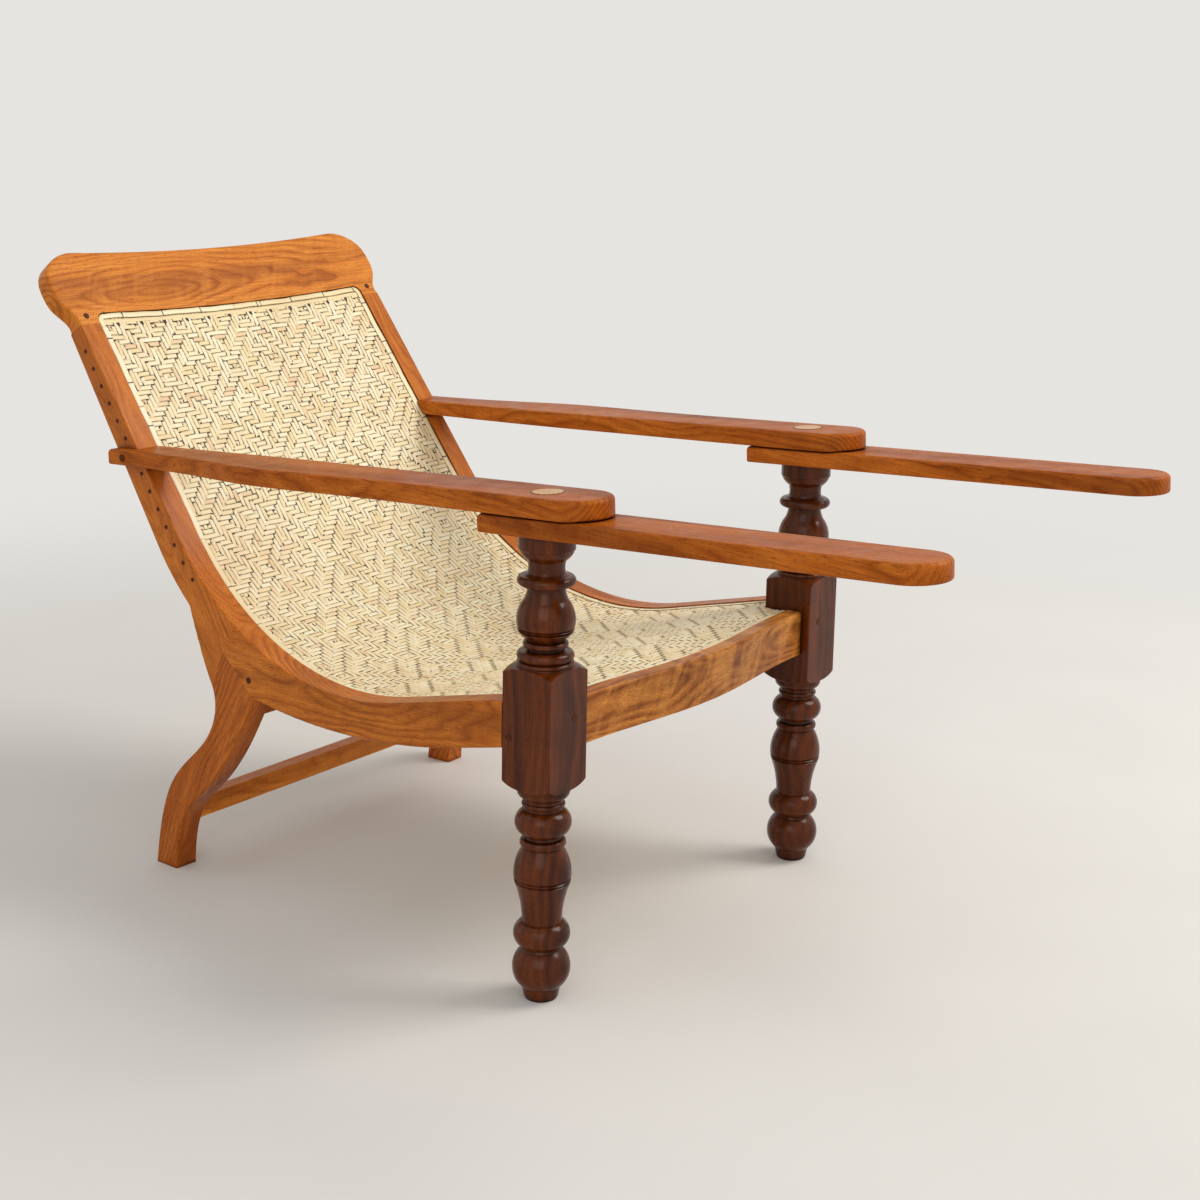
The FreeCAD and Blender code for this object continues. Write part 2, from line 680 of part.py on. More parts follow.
def cross_tenons(y, bottom, height, thickness):
    """The tenons at both ends of a cross piece, as one bar."""
    half = side_half(y, leg_thickness) + cross_tenon
    step = cross_shoulder
    return box(-half, half, y + step, y + thickness - step, bottom + step, bottom + height - step)


cross_place = (leg_y + cross_behind, leg_height + cross_rise - cross_height, cross_height, cross_thickness)
stretcher_place = (leg_y + stretcher_behind, stretcher_bottom, stretcher_height, stretcher_thickness)


def back_cross_rail():
    """Its lower edge rises in a quarter curve beside each leg."""
    y, bottom, height, thickness = cross_place
    half = side_half(y, leg_thickness)
    low, high = bottom, bottom + cross_arch
    crown, rounding = half - cross_arch_run, half - cross_arch_run * (1 - math.sqrt(0.5))
    corners = [V(half, y, low), V(half, y, low - overrun), V(-half, y, low - overrun), V(-half, y, low)]
    edges = [edge(a, b) for a, b in zip(corners, corners[1:])] + [edge(V(-crown, y, high), V(crown, y, high))]
    for side in (-1, 1):
        curve = V(side * rounding, y, low + cross_arch * math.sqrt(0.5))
        edges.append(arc(V(side * half, y, low), curve, V(side * crown, y, high)))
    arch = Part.Face(Part.Wire(Part.__sortEdges__(edges))).extrude(V(0, thickness, 0))
    return joined(cross_piece(*cross_place).cut(arch), cross_tenons(*cross_place))


def rear_stretcher():
    return joined(cross_piece(*stretcher_place), cross_tenons(*stretcher_place))


# Cane

def cane_region(gap):
    """The plan of the cane as an upright prism: between the rails, between the posts and behind the bow."""
    tall = arm_height * 2
    behind = on_back(back_run + crest_height).y
    seat = between_sides(visible_width + gap, post_half + gap, behind, 0, tall)
    throat = bow_slab(front_strip + gap, post_half + gap, 0, tall)
    throat = throat.common(box(-inner_x + gap, inner_x - gap, -overrun * 2, post_half * 2, 0, tall))
    return joined(seat, throat)


def head_limit(gap):
    """Everything below the cane's upper edge, to be kept."""
    high = crest_arch - gap
    keep = box(-outer_x, outer_x, -back_run - arm_length, high - crest_corner, -arm_length, arm_length)
    return joined(place_back(keep), place_back(panel_head(gap, overrun, overrun)))


def cane_panel():
    sheet = band(cane_top, rebate_depth, -outer_x, outer_x * 2)
    return sheet.common(cane_region(cane_gap)).common(head_limit(cane_gap))


def binders():
    """The flat strips laid round the edge of the cane, one to a side."""
    strip = band(cane_top - binder_thickness, cane_top, -outer_x, outer_x * 2)
    outer = strip.common(cane_region(cane_gap)).common(head_limit(cane_gap))
    tall = arm_height * 2
    behind = on_back(back_run + crest_height).y
    low_head = place_back(box(-outer_x, outer_x, crest_arch - crest_corner - binder_width, crest_height,
                              -overrun, overrun))
    inner_head = place_back(panel_head(cane_gap + binder_width, overrun, overrun))
    top = outer.common(low_head).cut(inner_head)
    inside = between_sides(visible_width + cane_gap + binder_width, 0, behind, 0, tall)
    ahead = box(-outer_x, outer_x, -post_side * 2, post_half + cane_gap, 0, tall)
    sides = outer.cut([low_head, inside, ahead])
    front = outer.common(bow_slab(front_strip, post_half, 0, tall))
    front = front.cut(bow_slab(front_strip + cane_gap + binder_width, post_half + overrun, 0, tall))
    right = [s for s in sides.Solids if s.CenterOfMass.x < 0]
    left = [s for s in sides.Solids if s.CenterOfMass.x > 0]
    return {"top_cane_binder": top, "front_cane_binder": front, "right_cane_binder": Part.makeCompound(right),
            "left_cane_binder": Part.makeCompound(left)}


# Pegs

def cane_pegs():
    """A row of pegs in the outer face of the stile, close behind its front edge.

    The row is counted from the arm's own peg, which takes the place of one of them.
    """
    at_arm = (arm_peg_place() - on_hollow(rise)).dot(V(0, math.cos(rise), math.sin(rise)))
    radius = hollow_radius + cane_peg_depth
    lowest = -(rise - math.radians(tail_angle)) * radius
    above = int((back_run - cane_peg_pitch / 2 - at_arm) / cane_peg_pitch)
    below = int((at_arm - lowest) / cane_peg_pitch)
    pegs = []
    for i in list(range(-below, 0)) + list(range(1, above + 1)):
        run = at_arm + i * cane_peg_pitch
        centre = on_back(run, cane_peg_depth) if run > 0 else on_hollow(rise + run / radius, cane_peg_depth)
        pegs.append(rod(cane_peg_radius, centre + V(-peg_rise, 0, 0), V(1, 0, 0), cane_peg_length))
    return [place_side(p) for p in pegs]


def post_pegs():
    """Two pegs to a front leg: one through the seat rail's tenon and one through the front rail's."""
    side = V(-outer_x - peg_rise, side_peg_offset, seat_front_height - side_peg_drop)
    front = V(-axis_x + front_peg_offset, -post_half - peg_rise, seat_front_height - front_peg_drop)
    length = (post_side + tenon_thickness) / 2 + peg_rise
    return [rod(peg_radius, side, V(1, 0, 0), length), rod(peg_radius, front, V(0, 1, 0), length)]


def leg_peg():
    """Through the rear leg's tenon in the seat rail."""
    a, b = leg_point(leg_front_shares[0]), joint_bottom()
    along = (b - a).normalize()
    place = a + along * tenon_thickness * 2 + V(0, -along.z, along.y) * leg_tenon_length / 2
    return place_side(rod(peg_radius, place + V(-peg_rise, 0, 0), V(1, 0, 0), peg_length))


def crest_peg():
    """Through the stile's tenon from the front of the crest."""
    x = -back_width / 2 + visible_width / 2
    return place_back(rod(peg_radius, V(x, crest_peg_height, peg_rise), V(0, 0, -1), peg_length))


def arm_peg_place():
    """The middle of the outer end of the peg that holds the arm's lug to the stile."""
    y = arm_meets_back() + arm_peg_lap
    level = arm_height - y * math.tan(math.radians(arm_slope)) - (arm_thickness - arm_taper) / 2
    return V(-axis_x + arm_outer_shares[-1][1] * arm_half_width, y, level)


def arm_peg():
    return rod(arm_peg_radius, arm_peg_place(), V(1, 0, 0), peg_length * 1.5)


def right_side():
    """The right side's pieces, each with the mortises and peg holes that it needs."""
    pegs, posts, leg_pin, arm_pin = cane_pegs(), post_pegs(), leg_peg(), arm_peg()
    head_tenon, scarf, leg_top = place_side(stile_tenon()), place_side(scarf_tenon()), place_side(leg_tenon())
    rail = joined(place_side(seat_rail()).cut(leg_top), place_side(rail_tenon()), scarf)
    stile = joined(place_side(back_stile()).cut(scarf), head_tenon)
    leg = joined(place_side(rear_leg()), leg_top)
    crossings = [cross_tenons(*cross_place), cross_tenons(*stretcher_place)]
    return {
        "front_leg": front_leg().cut([rail, front_tenons()] + posts),
        "seat_rail": rail.cut([posts[0], leg_pin]),
        "back_stile": stile.cut(pegs + [crest_peg(), arm_pin]),
        "rear_leg": leg.cut(crossings + [leg_pin]),
        "armrest": armrest().cut(pegs + [arm_pin]),
        "leg_rest": leg_rest(),
        "cane_pegs": Part.makeCompound(pegs),
    }


def both(shapes):
    """A right-hand group and its mirror image as one group."""
    return Part.makeCompound(list(shapes) + [mirrored(s) for s in shapes])


def chair():
    nodes = {}
    right = right_side()
    for name, shape in right.items():
        nodes["right_" + name] = shape
        nodes["left_" + name] = mirrored(shape)
    crest = crest_rail()
    tenons = both([place_side(stile_tenon())])
    nodes["crest_rail"] = crest.cut(list(tenons.Solids) + list(both([crest_peg()]).Solids))
    front = front_rail()
    nodes["front_rail"] = front.cut(list(both(post_pegs()[1:]).Solids))
    nodes["back_cross_rail"] = back_cross_rail()
    nodes["rear_stretcher"] = rear_stretcher()
    nodes["cane_panel"] = cane_panel()
    nodes.update(binders())
    nodes["post_pegs"] = both(post_pegs())
    nodes["leg_pegs"] = both([leg_peg()])
    nodes["crest_pegs"] = both([crest_peg()])
    nodes["arm_pegs"] = both([arm_peg()])
    return nodes


def main():
    nodes = chair()
    whole = Part.makeCompound(list(nodes.values())).optimalBoundingBox(False)
    shift = V(0, -(whole.YMin + whole.YMax) / 2, 0)
    for name, shape in sorted(nodes.items()):
        shape.translate(shift)
        shape.exportStep("parts/%s.step" % name)
        print(name, len(shape.Solids), shape.isValid(), round(shape.Volume))
    print("size", whole.XLength, whole.YLength, whole.ZLength, "moved by", shift.y)


main()
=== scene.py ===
import math

import bpy
import numpy as np
from mathutils import Matrix


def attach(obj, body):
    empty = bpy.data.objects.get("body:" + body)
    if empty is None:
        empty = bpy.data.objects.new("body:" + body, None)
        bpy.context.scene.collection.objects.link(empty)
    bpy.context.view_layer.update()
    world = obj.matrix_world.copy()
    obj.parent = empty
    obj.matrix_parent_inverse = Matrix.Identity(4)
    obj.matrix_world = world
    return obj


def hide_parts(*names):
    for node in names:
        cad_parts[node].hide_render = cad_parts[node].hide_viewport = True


# A planters chair in polished teak with a woven cane seat and back.
# Metres. The origin is the middle of the footprint on the floor, and the chair faces -Y.
# The cane's own sizes are millimetres, with y counted from the axes of the front legs, and are
# turned into metres where a mesh is made.

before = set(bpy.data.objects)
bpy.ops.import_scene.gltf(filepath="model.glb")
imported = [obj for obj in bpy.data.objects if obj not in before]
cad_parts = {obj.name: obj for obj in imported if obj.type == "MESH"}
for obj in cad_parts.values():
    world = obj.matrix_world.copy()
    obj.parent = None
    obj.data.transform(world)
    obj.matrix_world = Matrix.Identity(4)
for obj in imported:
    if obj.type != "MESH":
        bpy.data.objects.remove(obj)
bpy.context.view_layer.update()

MM = 0.001
LEG_AXIS_X = 0.303
LEG_AXIS_Y = -0.20428841           # the front legs' axes stand this far in front of the middle
ARM_TOP = 0.659                    # of the arm over the front leg
TENON_END = 0.008                  # how far below the arm's top a tenon's end grain begins

# The line of the seat and back, in millimetres, seen from the side: a bend over the front rail, a
# straight fall, a bend the other way and the straight back. The bends are given by their centres.
CROWN_Y, CROWN_Z, CROWN_RADIUS = 30.0, 244.0, 150.0
FALL = math.radians(13.5)
SEAT_RUN = 174.0
HOLLOW_Y, HOLLOW_Z, HOLLOW_RADIUS = 327.59, 738.19, 400.0
RISE = math.radians(53.6)
BACK_RUN = 353.0                   # straight back, up to the crest's joint with the stiles
CREST_ARCH, CREST_SAG = 18.0, 8.5  # of the crest's lower edge, over that joint and in its middle
CREST_CORNER = 14.0

# The opening in the frame, in plan
FOOT_SLOPE = 28.0 / 821.0          # how fast the side frames come together
OUTER_HALF, REAR_OF_POST = 341.0, 38.0     # half the frame's width where the posts end
VISIBLE = 36.5                     # of a side frame's width, beside the cane
THROAT_HALF = 265.0                # half the gap between the posts
FRONT_FACE, FRONT_BOW, FRONT_STRIP = 24.0, 22.0, 22.0  # of the front rail; the strip shows
CANE_GAP = 0.3
STRAND_GAP = 0.4                   # between the end or side of a strand and the frame

# The weave
CANE_DEPTH = 4.4                   # of its middle, below the line of the seat
WARP_PITCH, WEFT_PITCH = 7.25, 7.45
STRAND_WIDTH, STRAND_THICKNESS = 7.1, 0.9
LOOSE = 0.06                       # how much narrower the strands are where the weave is loose
WANDER = 0.38                      # how far a strand strays to a side between its neighbours
LIFT = 0.75                        # how far a strand's middle rides up or down
DIVE = 0.45                        # how much of its fall a strand has done where it goes under
SHADED_BEHIND, SHADED_BEFORE = 0.8, 0.5    # the shares of dives, behind and before a float, that get dark painted shade
REPEAT_ACROSS, REPEAT_ALONG, FLOAT_REPEAT = 18, 22, 6
STRIP_WIDTH, STRIP_THICKNESS = 9.4, 1.2
SIDE_STRIP_WIDTH = 11.4
STRIP_HEIGHT = 1.95                # of a binding strip's middle above the weave's
STRIP_LENGTH, STRIP_LAP = 310.0, 22.0
STRIP_STEP = 2.5                   # between a strip's rings
STRIP_WANDER = 0.45
LAP_LIFT, NODE_LIFT = 0.55, 0.25   # how much a strip rises at its lapped end and at a leaf node
NODE_GAP, NODE_LENGTH = 74.0, 3.5
HOLE_GAP = 3.4                     # between the last two wefts, where the row of holes is
HOLE_PINCH = 0.5                   # how far the outer warps of each three draw together there
# the second is the strength of the painted shade on the sides of strands at the holes
HOLE_LENGTH, HOLE_SHADE = 5.0, 2.5
ARCH_ROWS = 9                      # how many wefts bend to follow the crest

# A strand's flat six-sided section, as shares of its width and thickness
SECTION_ACROSS = np.array([-0.5, -0.4, 0.4, 0.5, 0.4, -0.4])
SECTION_UP = np.array([0.0, 0.5, 0.5, 0.0, -0.5, -0.5])

# Colours: of the strands, from one to the next; of the woods; of the room
STRAW = ((0, "#f1dba9"), (0.25, "#f8e9be"), (0.7, "#fdf3d1"), (0.9, "#f8e4bb"), (1, "#edcca2"))
WOODS = {
    # light, middle and dark of the growth rings, and the pores
    "honey": ("#f59c3e", "#d77a20", "#8f460c", "#4a2004"),
    "brown": ("#dc7f2c", "#b35a12", "#6c2e07", "#361503"),
    "orange": ("#ea8e36", "#c76c1c", "#82400b", "#422003"),
    "figured": ("#e89c48", "#a85c1b", "#5e2c0a", "#341603"),
    "dark": ("#803c0d", "#4e2006", "#2c1003", "#180801"),
}
ROOM = "#e6e4e0"
FLOOR_REACH = 30.0                 # from its middle to its sides, in metres


# Small helpers

def linear(code):
    """An sRGB hex colour as linear red, green, blue and alpha."""
    parts = [int(code[k:k + 2], 16) / 255 for k in (1, 3, 5)]
    return [p / 12.92 if p <= 0.04045 else ((p + 0.055) / 1.055) ** 2.4 for p in parts] + [1.0]


def material(name):
    """A new material with its tree and its Principled shader."""
    made = bpy.data.materials.new(name)
    made.use_nodes = True
    return made, made.node_tree, made.node_tree.nodes["Principled BSDF"]


def put(tree, node, inputs):
    """Fills a node's inputs: socket to a value, a colour code, a node or one of its outputs."""
    for key, value in dict(inputs).items():
        if isinstance(value, bpy.types.Node):
            value = value.outputs[0]
        if isinstance(value, bpy.types.NodeSocket):
            tree.links.new(value, node.inputs[key])
        else:
            node.inputs[key].default_value = linear(value) if isinstance(value, str) else value


def add(tree, kind, inputs=(), stops=(), **settings):
    """Adds a node. stops are a colour ramp's places, each with a colour code or a grey value."""
    node = tree.nodes.new("ShaderNode" + kind)
    for key, value in settings.items():
        setattr(node, key, value)
    put(tree, node, inputs)
    if stops:
        bar = node.color_ramp.elements
        while len(bar) < len(stops):
            bar.new(0.5)
        for element, (place, colour) in zip(bar, stops):
            element.position = place
            element.color = linear(colour) if isinstance(colour, str) else [colour] * 3 + [1]
    return node


def signed_volume(verts, faces):
    """The volume inside faces cut into fans from their first corners; below 0 if turned inwards."""
    first = verts[faces[:, 0]]
    pairs = [(verts[faces[:, k]], verts[faces[:, k + 1]]) for k in range(1, faces.shape[1] - 1)]
    return sum(np.einsum("ij,ij->", first, np.cross(b, c)) for b, c in pairs) / 6


def cane_piece(name, verts, quads, caps, finish, node, uv, attributes):
    """Makes arrays a mesh that faces outwards, stands for a CAD node and rides on the chair."""
    mesh = bpy.data.meshes.new(name)
    if signed_volume(verts, quads) + signed_volume(verts, caps) < 0:
        quads, caps = quads[:, ::-1], caps[:, ::-1]
    mesh.from_pydata(verts.tolist(), [], quads.tolist() + caps.tolist())
    corners = np.zeros(len(mesh.loops), np.int32)
    mesh.loops.foreach_get("vertex_index", corners)
    layer = mesh.uv_layers.new(name="strand")
    layer.data.foreach_set("uv", uv.astype(np.float32)[corners].ravel())
    for key, values in attributes.items():
        data = mesh.attributes.new(key, "FLOAT", "POINT").data
        data.foreach_set("value", values.astype(np.float32))
    mesh.polygons.foreach_set("use_smooth", np.ones(len(mesh.polygons), bool))
    mesh.materials.append(finish)
    mesh.update()
    piece = bpy.data.objects.new(name, mesh)
    bpy.context.scene.collection.objects.link(piece)
    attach(piece, "chair")
    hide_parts(node)


# The surface that the cane lies on

RADIUS_CROWN, RADIUS_HOLLOW = CROWN_RADIUS - CANE_DEPTH, HOLLOW_RADIUS + CANE_DEPTH
CROWN_END = RADIUS_CROWN * FALL
HOLLOW_START = CROWN_END + SEAT_RUN
HOLLOW_END = HOLLOW_START + RADIUS_HOLLOW * (FALL + RISE)
BACK_TOP = HOLLOW_END + BACK_RUN


def seat_point(run):
    """y, z and the slope angle of the cane's middle at a distance along it, from the crown's start.

    Level in front of the crown; round the crown by distance over radius; straight down the fall;
    round the hollow from minus the fall to the rise; then straight up the back.
    """
    run = np.asarray(run, float)
    bending = (run - HOLLOW_START) / RADIUS_HOLLOW - FALL
    slope = np.select([run < 0, run < CROWN_END, run < HOLLOW_START, run < HOLLOW_END],
                      [0 * run, -run / RADIUS_CROWN, 0 * run - FALL, bending], RISE)
    crown_y = CROWN_Y + RADIUS_CROWN * np.sin(-slope)
    crown_z = CROWN_Z + RADIUS_CROWN * np.cos(slope)
    hollow_y = HOLLOW_Y + RADIUS_HOLLOW * np.sin(slope)
    hollow_z = HOLLOW_Z - RADIUS_HOLLOW * np.cos(slope)
    past_crown, past_hollow = run - CROWN_END, run - HOLLOW_END
    y = np.select([run < 0, run < HOLLOW_START, run < HOLLOW_END],
                  [crown_y + run, crown_y + np.maximum(past_crown, 0) * math.cos(FALL), hollow_y],
                  hollow_y + past_hollow * math.cos(RISE))
    z = np.select([run < 0, run < HOLLOW_START, run < HOLLOW_END],
                  [crown_z, crown_z - np.maximum(past_crown, 0) * math.sin(FALL), hollow_z],
                  hollow_z + past_hollow * math.sin(RISE))
    return y, z, slope


def lay(run, x, height):
    """Points over the cane's middle surface, in metres, from distances along it, across and up."""
    y, z, slope = seat_point(run)
    y, z = y - height * np.sin(slope), z + height * np.cos(slope)
    points = np.stack(np.broadcast_arrays(x, y, z), -1) * MM
    points[..., 1] += LEG_AXIS_Y
    return points


def side_limit(run):
    """Half the width of the opening at a distance along the cane."""
    y = seat_point(run)[0]
    frame_width = VISIBLE * math.hypot(1, FOOT_SLOPE)
    between = OUTER_HALF - (y - REAR_OF_POST) * FOOT_SLOPE - frame_width - CANE_GAP
    return np.where(y < REAR_OF_POST + CANE_GAP, THROAT_HALF - CANE_GAP, between)


def front_limit(x):
    """y of the opening's front edge: the serpentine of the rail set back, between the posts."""
    bow = FRONT_BOW * np.cos(np.pi * np.clip(x, -THROAT_HALF, THROAT_HALF) / (2 * THROAT_HALF)) ** 2
    edge = -FRONT_FACE - bow + FRONT_STRIP + CANE_GAP
    return np.where(np.abs(x) < THROAT_HALF - CANE_GAP, edge, REAR_OF_POST + CANE_GAP)


def top_limit(x):
    """How far up the cane reaches: the crest's sagging lower edge with its two rounded corners."""
    half = side_limit(BACK_TOP)
    into = np.clip(np.abs(x) - (half - CREST_CORNER), 0, CREST_CORNER)
    corner = CREST_CORNER - np.sqrt(CREST_CORNER ** 2 - into ** 2)
    sag = CREST_SAG * (1 - np.clip(np.abs(x) / half, 0, 1) ** 2)
    return BACK_TOP + CREST_ARCH - CANE_GAP - sag - corner


# The weave: a broken twill of concentric diamonds, each strand over three and under three

def over(i, j):
    """1 where the warp i passes over the weft j and -1 where it passes under.

    The distances from the nearest fold across and along are added, and the sum is cut into rings.
    """
    a = np.abs(np.mod(i, REPEAT_ACROSS) - REPEAT_ACROSS // 2)
    b = np.abs(np.mod(j, REPEAT_ALONG) - REPEAT_ALONG // 2)
    return np.where(np.mod(a + b, FLOAT_REPEAT) < FLOAT_REPEAT // 2, 1.0, -1.0)


def halves(levels, dive=0.0):
    """Levels at the crossings, with the mean of each two neighbours put between them, lower by the
    dive where the two differ."""
    before, after = levels[:, :-1], levels[:, 1:]
    out = np.repeat(levels, 2, axis=1)[:, :-1]
    out[:, 1::2] = (before + after) / 2 - dive * np.abs(after - before) / 2
    return out


def tube_faces(keep):
    """Quads between the six-sided rings that are kept, and a cap on both ends of each row."""
    index = np.arange(keep.size).reshape(keep.shape)
    body = keep[:, :-1] & keep[:, 1:]
    first = keep & ~np.pad(keep, ((0, 0), (1, 0)))[:, :-1]
    last = keep & ~np.pad(keep, ((0, 0), (0, 1)))[:, 1:]
    here, after = np.arange(6), np.roll(np.arange(6), -1)
    a, b = index[:, :-1][body][:, None] * 6, index[:, 1:][body][:, None] * 6
    quads = np.stack([a + here, b + here, b + after, a + after], -1).reshape(-1, 4)
    caps = np.concatenate([index[first][:, None] * 6 + here, index[last][:, None] * 6 + here[::-1]])
    return quads, caps


def ribbons(name, verts, keep, finish, node, run, side, tone, shade_and_stain):
    """Makes rows of rings one piece, without the rings that aren't kept."""
    quads, caps = tube_faces(keep)
    used = np.unique(np.concatenate([quads.ravel(), caps.ravel()]))
    new = np.zeros(verts.size // 3, int)
    new[used] = np.arange(len(used))
    shape = verts.shape[:-1]
    run, side, tone, shade_and_stain = (np.broadcast_to(values, shape).reshape(-1)[used]
                              for values in (run, side, tone, shade_and_stain))
    cane_piece(name, verts.reshape(-1, 3)[used], new[quads], new[caps], finish, node,
               np.stack([run, side], -1) * MM, {"strand_tone": tone, "strand_shade_and_stain": shade_and_stain})


def strands(sheets, along, centre, low, high, levels, hole, place, finish, seed):
    """Parallel strands as flat six-sided ribbons, in sheets: (name, which strands, which rings).

    Each strand's ring k is at along[k], kept between the strand's low and high ends, at the level
    of the crossing times the lift; the ring is the section scaled to the strand's width and
    thickness. Strands differ a little in width, wander and height, as they do where they are split
    by hand, and are narrower by up to a share where two crossing sine waves, a hand's width long,
    add up. The painted shade darkens the gaps where a strand dives, each with its own strength and
    lean to a side, the ones behind a float darker than the ones before it, and the sides of strands
    at the holes.
    """
    rng = np.random.default_rng(seed)
    count = len(levels)
    step = np.max(np.diff(along, axis=1))
    loose = np.sin(along / 17 + centre / 11 + 1) * np.sin(centre / 23 - along / 13)
    split = rng.uniform(0.96, 1.01, (count, 1))
    width = STRAND_WIDTH * (split - LOOSE * (0.5 + 0.5 * loose))[..., None]
    wave, start = rng.uniform(7, 12, (2, count, 1)), rng.uniform(0, 6, (2, count, 1))
    wander = WANDER / 2 * (np.sin(along / wave[0] + start[0]) + np.sin(along / wave[1] + start[1]))
    side = SECTION_ACROSS * width
    across = (centre + wander)[..., None] + side
    height = LIFT * levels + rng.normal(0, 0.05, levels.shape)
    up = height[..., None] + SECTION_UP * STRAND_THICKNESS
    tone = rng.uniform(0, 1, (count, 1, 1))
    # painted shade in the gaps where a strand dives: more often strong behind a float than before
    # it, each with its own strength and leaning to one side of the strand
    falling = np.diff(levels, axis=1, append=levels[:, -1:]) < 0
    is_shaded = rng.uniform(0, 1, levels.shape) < np.where(falling, SHADED_BEHIND, SHADED_BEFORE)
    much, little = rng.uniform(0.7, 1.15, levels.shape), rng.uniform(0.0, 0.4, levels.shape)
    gap_shade = np.where(is_shaded, much, little)
    lean = 1 + rng.uniform(-0.9, 0.9, (*levels.shape, 1)) * 2 * SECTION_ACROSS
    shade_and_stain = np.where(np.abs(levels) < 1, gap_shade, 0)[..., None] * lean
    # painted shade on the sides of strands beside the holes
    shade_and_stain = np.maximum(shade_and_stain, HOLE_SHADE * hole[..., None] * SECTION_ACROSS)
    for name, which, rings in sheets:
        here = along[which, rings]
        bottom = np.maximum(low[which], here[:, 0])[:, None]
        top = np.minimum(high[which], here[:, -1])[:, None]
        keep = (here > bottom - step * 0.9) & (here < top + step * 0.9) & (top > bottom + step)
        at = np.clip(here, bottom, top)[..., None]
        verts = place(at, across[which, rings], up[which, rings])
        ribbons(name, verts, keep, finish, "cane_panel", at, side[which, rings],
                tone[which], shade_and_stain[which, rings])


def arch(x):
    """How much higher than its middle the crest's lower edge stands at a distance across."""
    return CREST_SAG * np.clip(np.abs(x) / side_limit(BACK_TOP), 0, 1) ** 2


def weave(finish):
    """The warp runs from the front rail to the crest and the weft from side to side, each in two
    sheets.

    The last wefts bend with the crest; the last of all lies over every warp, and the warps below it
    draw together in threes, which leaves a row of small holes.
    """
    half = STRAND_WIDTH / 2
    warp_reach = int((side_limit(CROWN_END) - half) / WARP_PITCH)
    warps = np.arange(-warp_reach, warp_reach + 1)
    x = warps * WARP_PITCH
    front = front_limit(0.0) - CROWN_Y + half + STRAND_GAP
    last = top_limit(0.0) - STRIP_WIDTH - CANE_GAP - half
    rows = int((last - HOLE_GAP - front) / WEFT_PITCH) + 1
    weft_run = np.append(last - HOLE_GAP - np.arange(rows)[::-1] * WEFT_PITCH, last)
    rows += 1
    table = over(warps[:, None], np.arange(rows)[None])
    table[:, -1] = -1.0
    # the share of the crest's sag that each weft follows
    share = np.clip(1 - (np.arange(rows)[::-1] - 1) / ARCH_ROWS, 0, 1)

    # warps: each starts behind the front edge and stops at the crest or where the side cuts it
    beside = np.abs(x) + half
    runs = np.linspace(CROWN_END, BACK_TOP + CREST_ARCH, 1200)
    inside = side_limit(runs)[None] > beside[:, None]
    side_end = np.where(inside.all(axis=1), runs[-1], runs[np.argmin(inside, axis=1)])
    low = np.maximum(front_limit(beside), front_limit(x)) - CROWN_Y + STRAND_GAP
    high = np.minimum(side_end, np.minimum(top_limit(beside), top_limit(x))) - STRAND_GAP
    levels = np.pad(halves(table, DIVE), ((0, 0), (1, 3)), mode="edge")
    beyond = np.arange(1, 4) * WEFT_PITCH / 2
    along = halves(weft_run[None])[0]
    along = np.concatenate([along[:1] - WEFT_PITCH / 2, along, along[-1] + beyond])
    bend = halves(share[None])[0]
    bend = np.concatenate([bend[:1], bend, [1, 1, 1]])
    along = along[None] + bend[None] * arch(x)[:, None]
    hole = last - (WEFT_PITCH + HOLE_GAP) / 2 + arch(x)[:, None]
    group = np.mod(warps, 3)[:, None] - 1
    beside_hole = np.exp(-((along - hole) / HOLE_LENGTH) ** 2)
    centre = x[:, None] - group * HOLE_PINCH * beside_hole
    cut = along.shape[1] // 2

    every = slice(None)
    sheets = (("cane_warp_seat", every, slice(0, cut + 1)),
              ("cane_warp_back", every, slice(cut, None)))
    strands(sheets, along, centre, low, high, levels, group * beside_hole, lay, finish, 11)

    # wefts: each reaches to the side frames, and in front to where the serpentine rail lets it
    reach = np.minimum(side_limit(weft_run - half), side_limit(weft_run + half)) - STRAND_GAP
    y_front = seat_point(weft_run)[0] - half - STRAND_GAP
    bow_share = np.clip((-FRONT_FACE + FRONT_STRIP + CANE_GAP - y_front) / FRONT_BOW, 0, 1)
    bow_reach = 2 * THROAT_HALF / np.pi * np.arccos(np.sqrt(bow_share))
    reach = np.where(bow_share > 0, np.minimum(reach, bow_reach), reach)
    reach[-2:] -= CREST_CORNER / 2     # the crest's corners are round
    levels = np.pad(halves(-table.T, DIVE), ((0, 0), (1, 1)), mode="edge")
    across = np.arange(levels.shape[1]) * WARP_PITCH / 2 + x[0] - WARP_PITCH / 2
    across = np.broadcast_to(across, levels.shape)
    centre = weft_run[:, None] + share[:, None] * arch(across)

    def crosswise(x, run, up):
        return lay(run, x, up)
    sheets = (("cane_weft_seat", slice(0, rows // 2), every),
              ("cane_weft_back", slice(rows // 2, None), every))
    strands(sheets, across, centre, -reach, reach, levels, 0 * levels, crosswise, finish, 13)


# The binding: flat strips of cane skin laid over the edge of the weave, lapped end over end

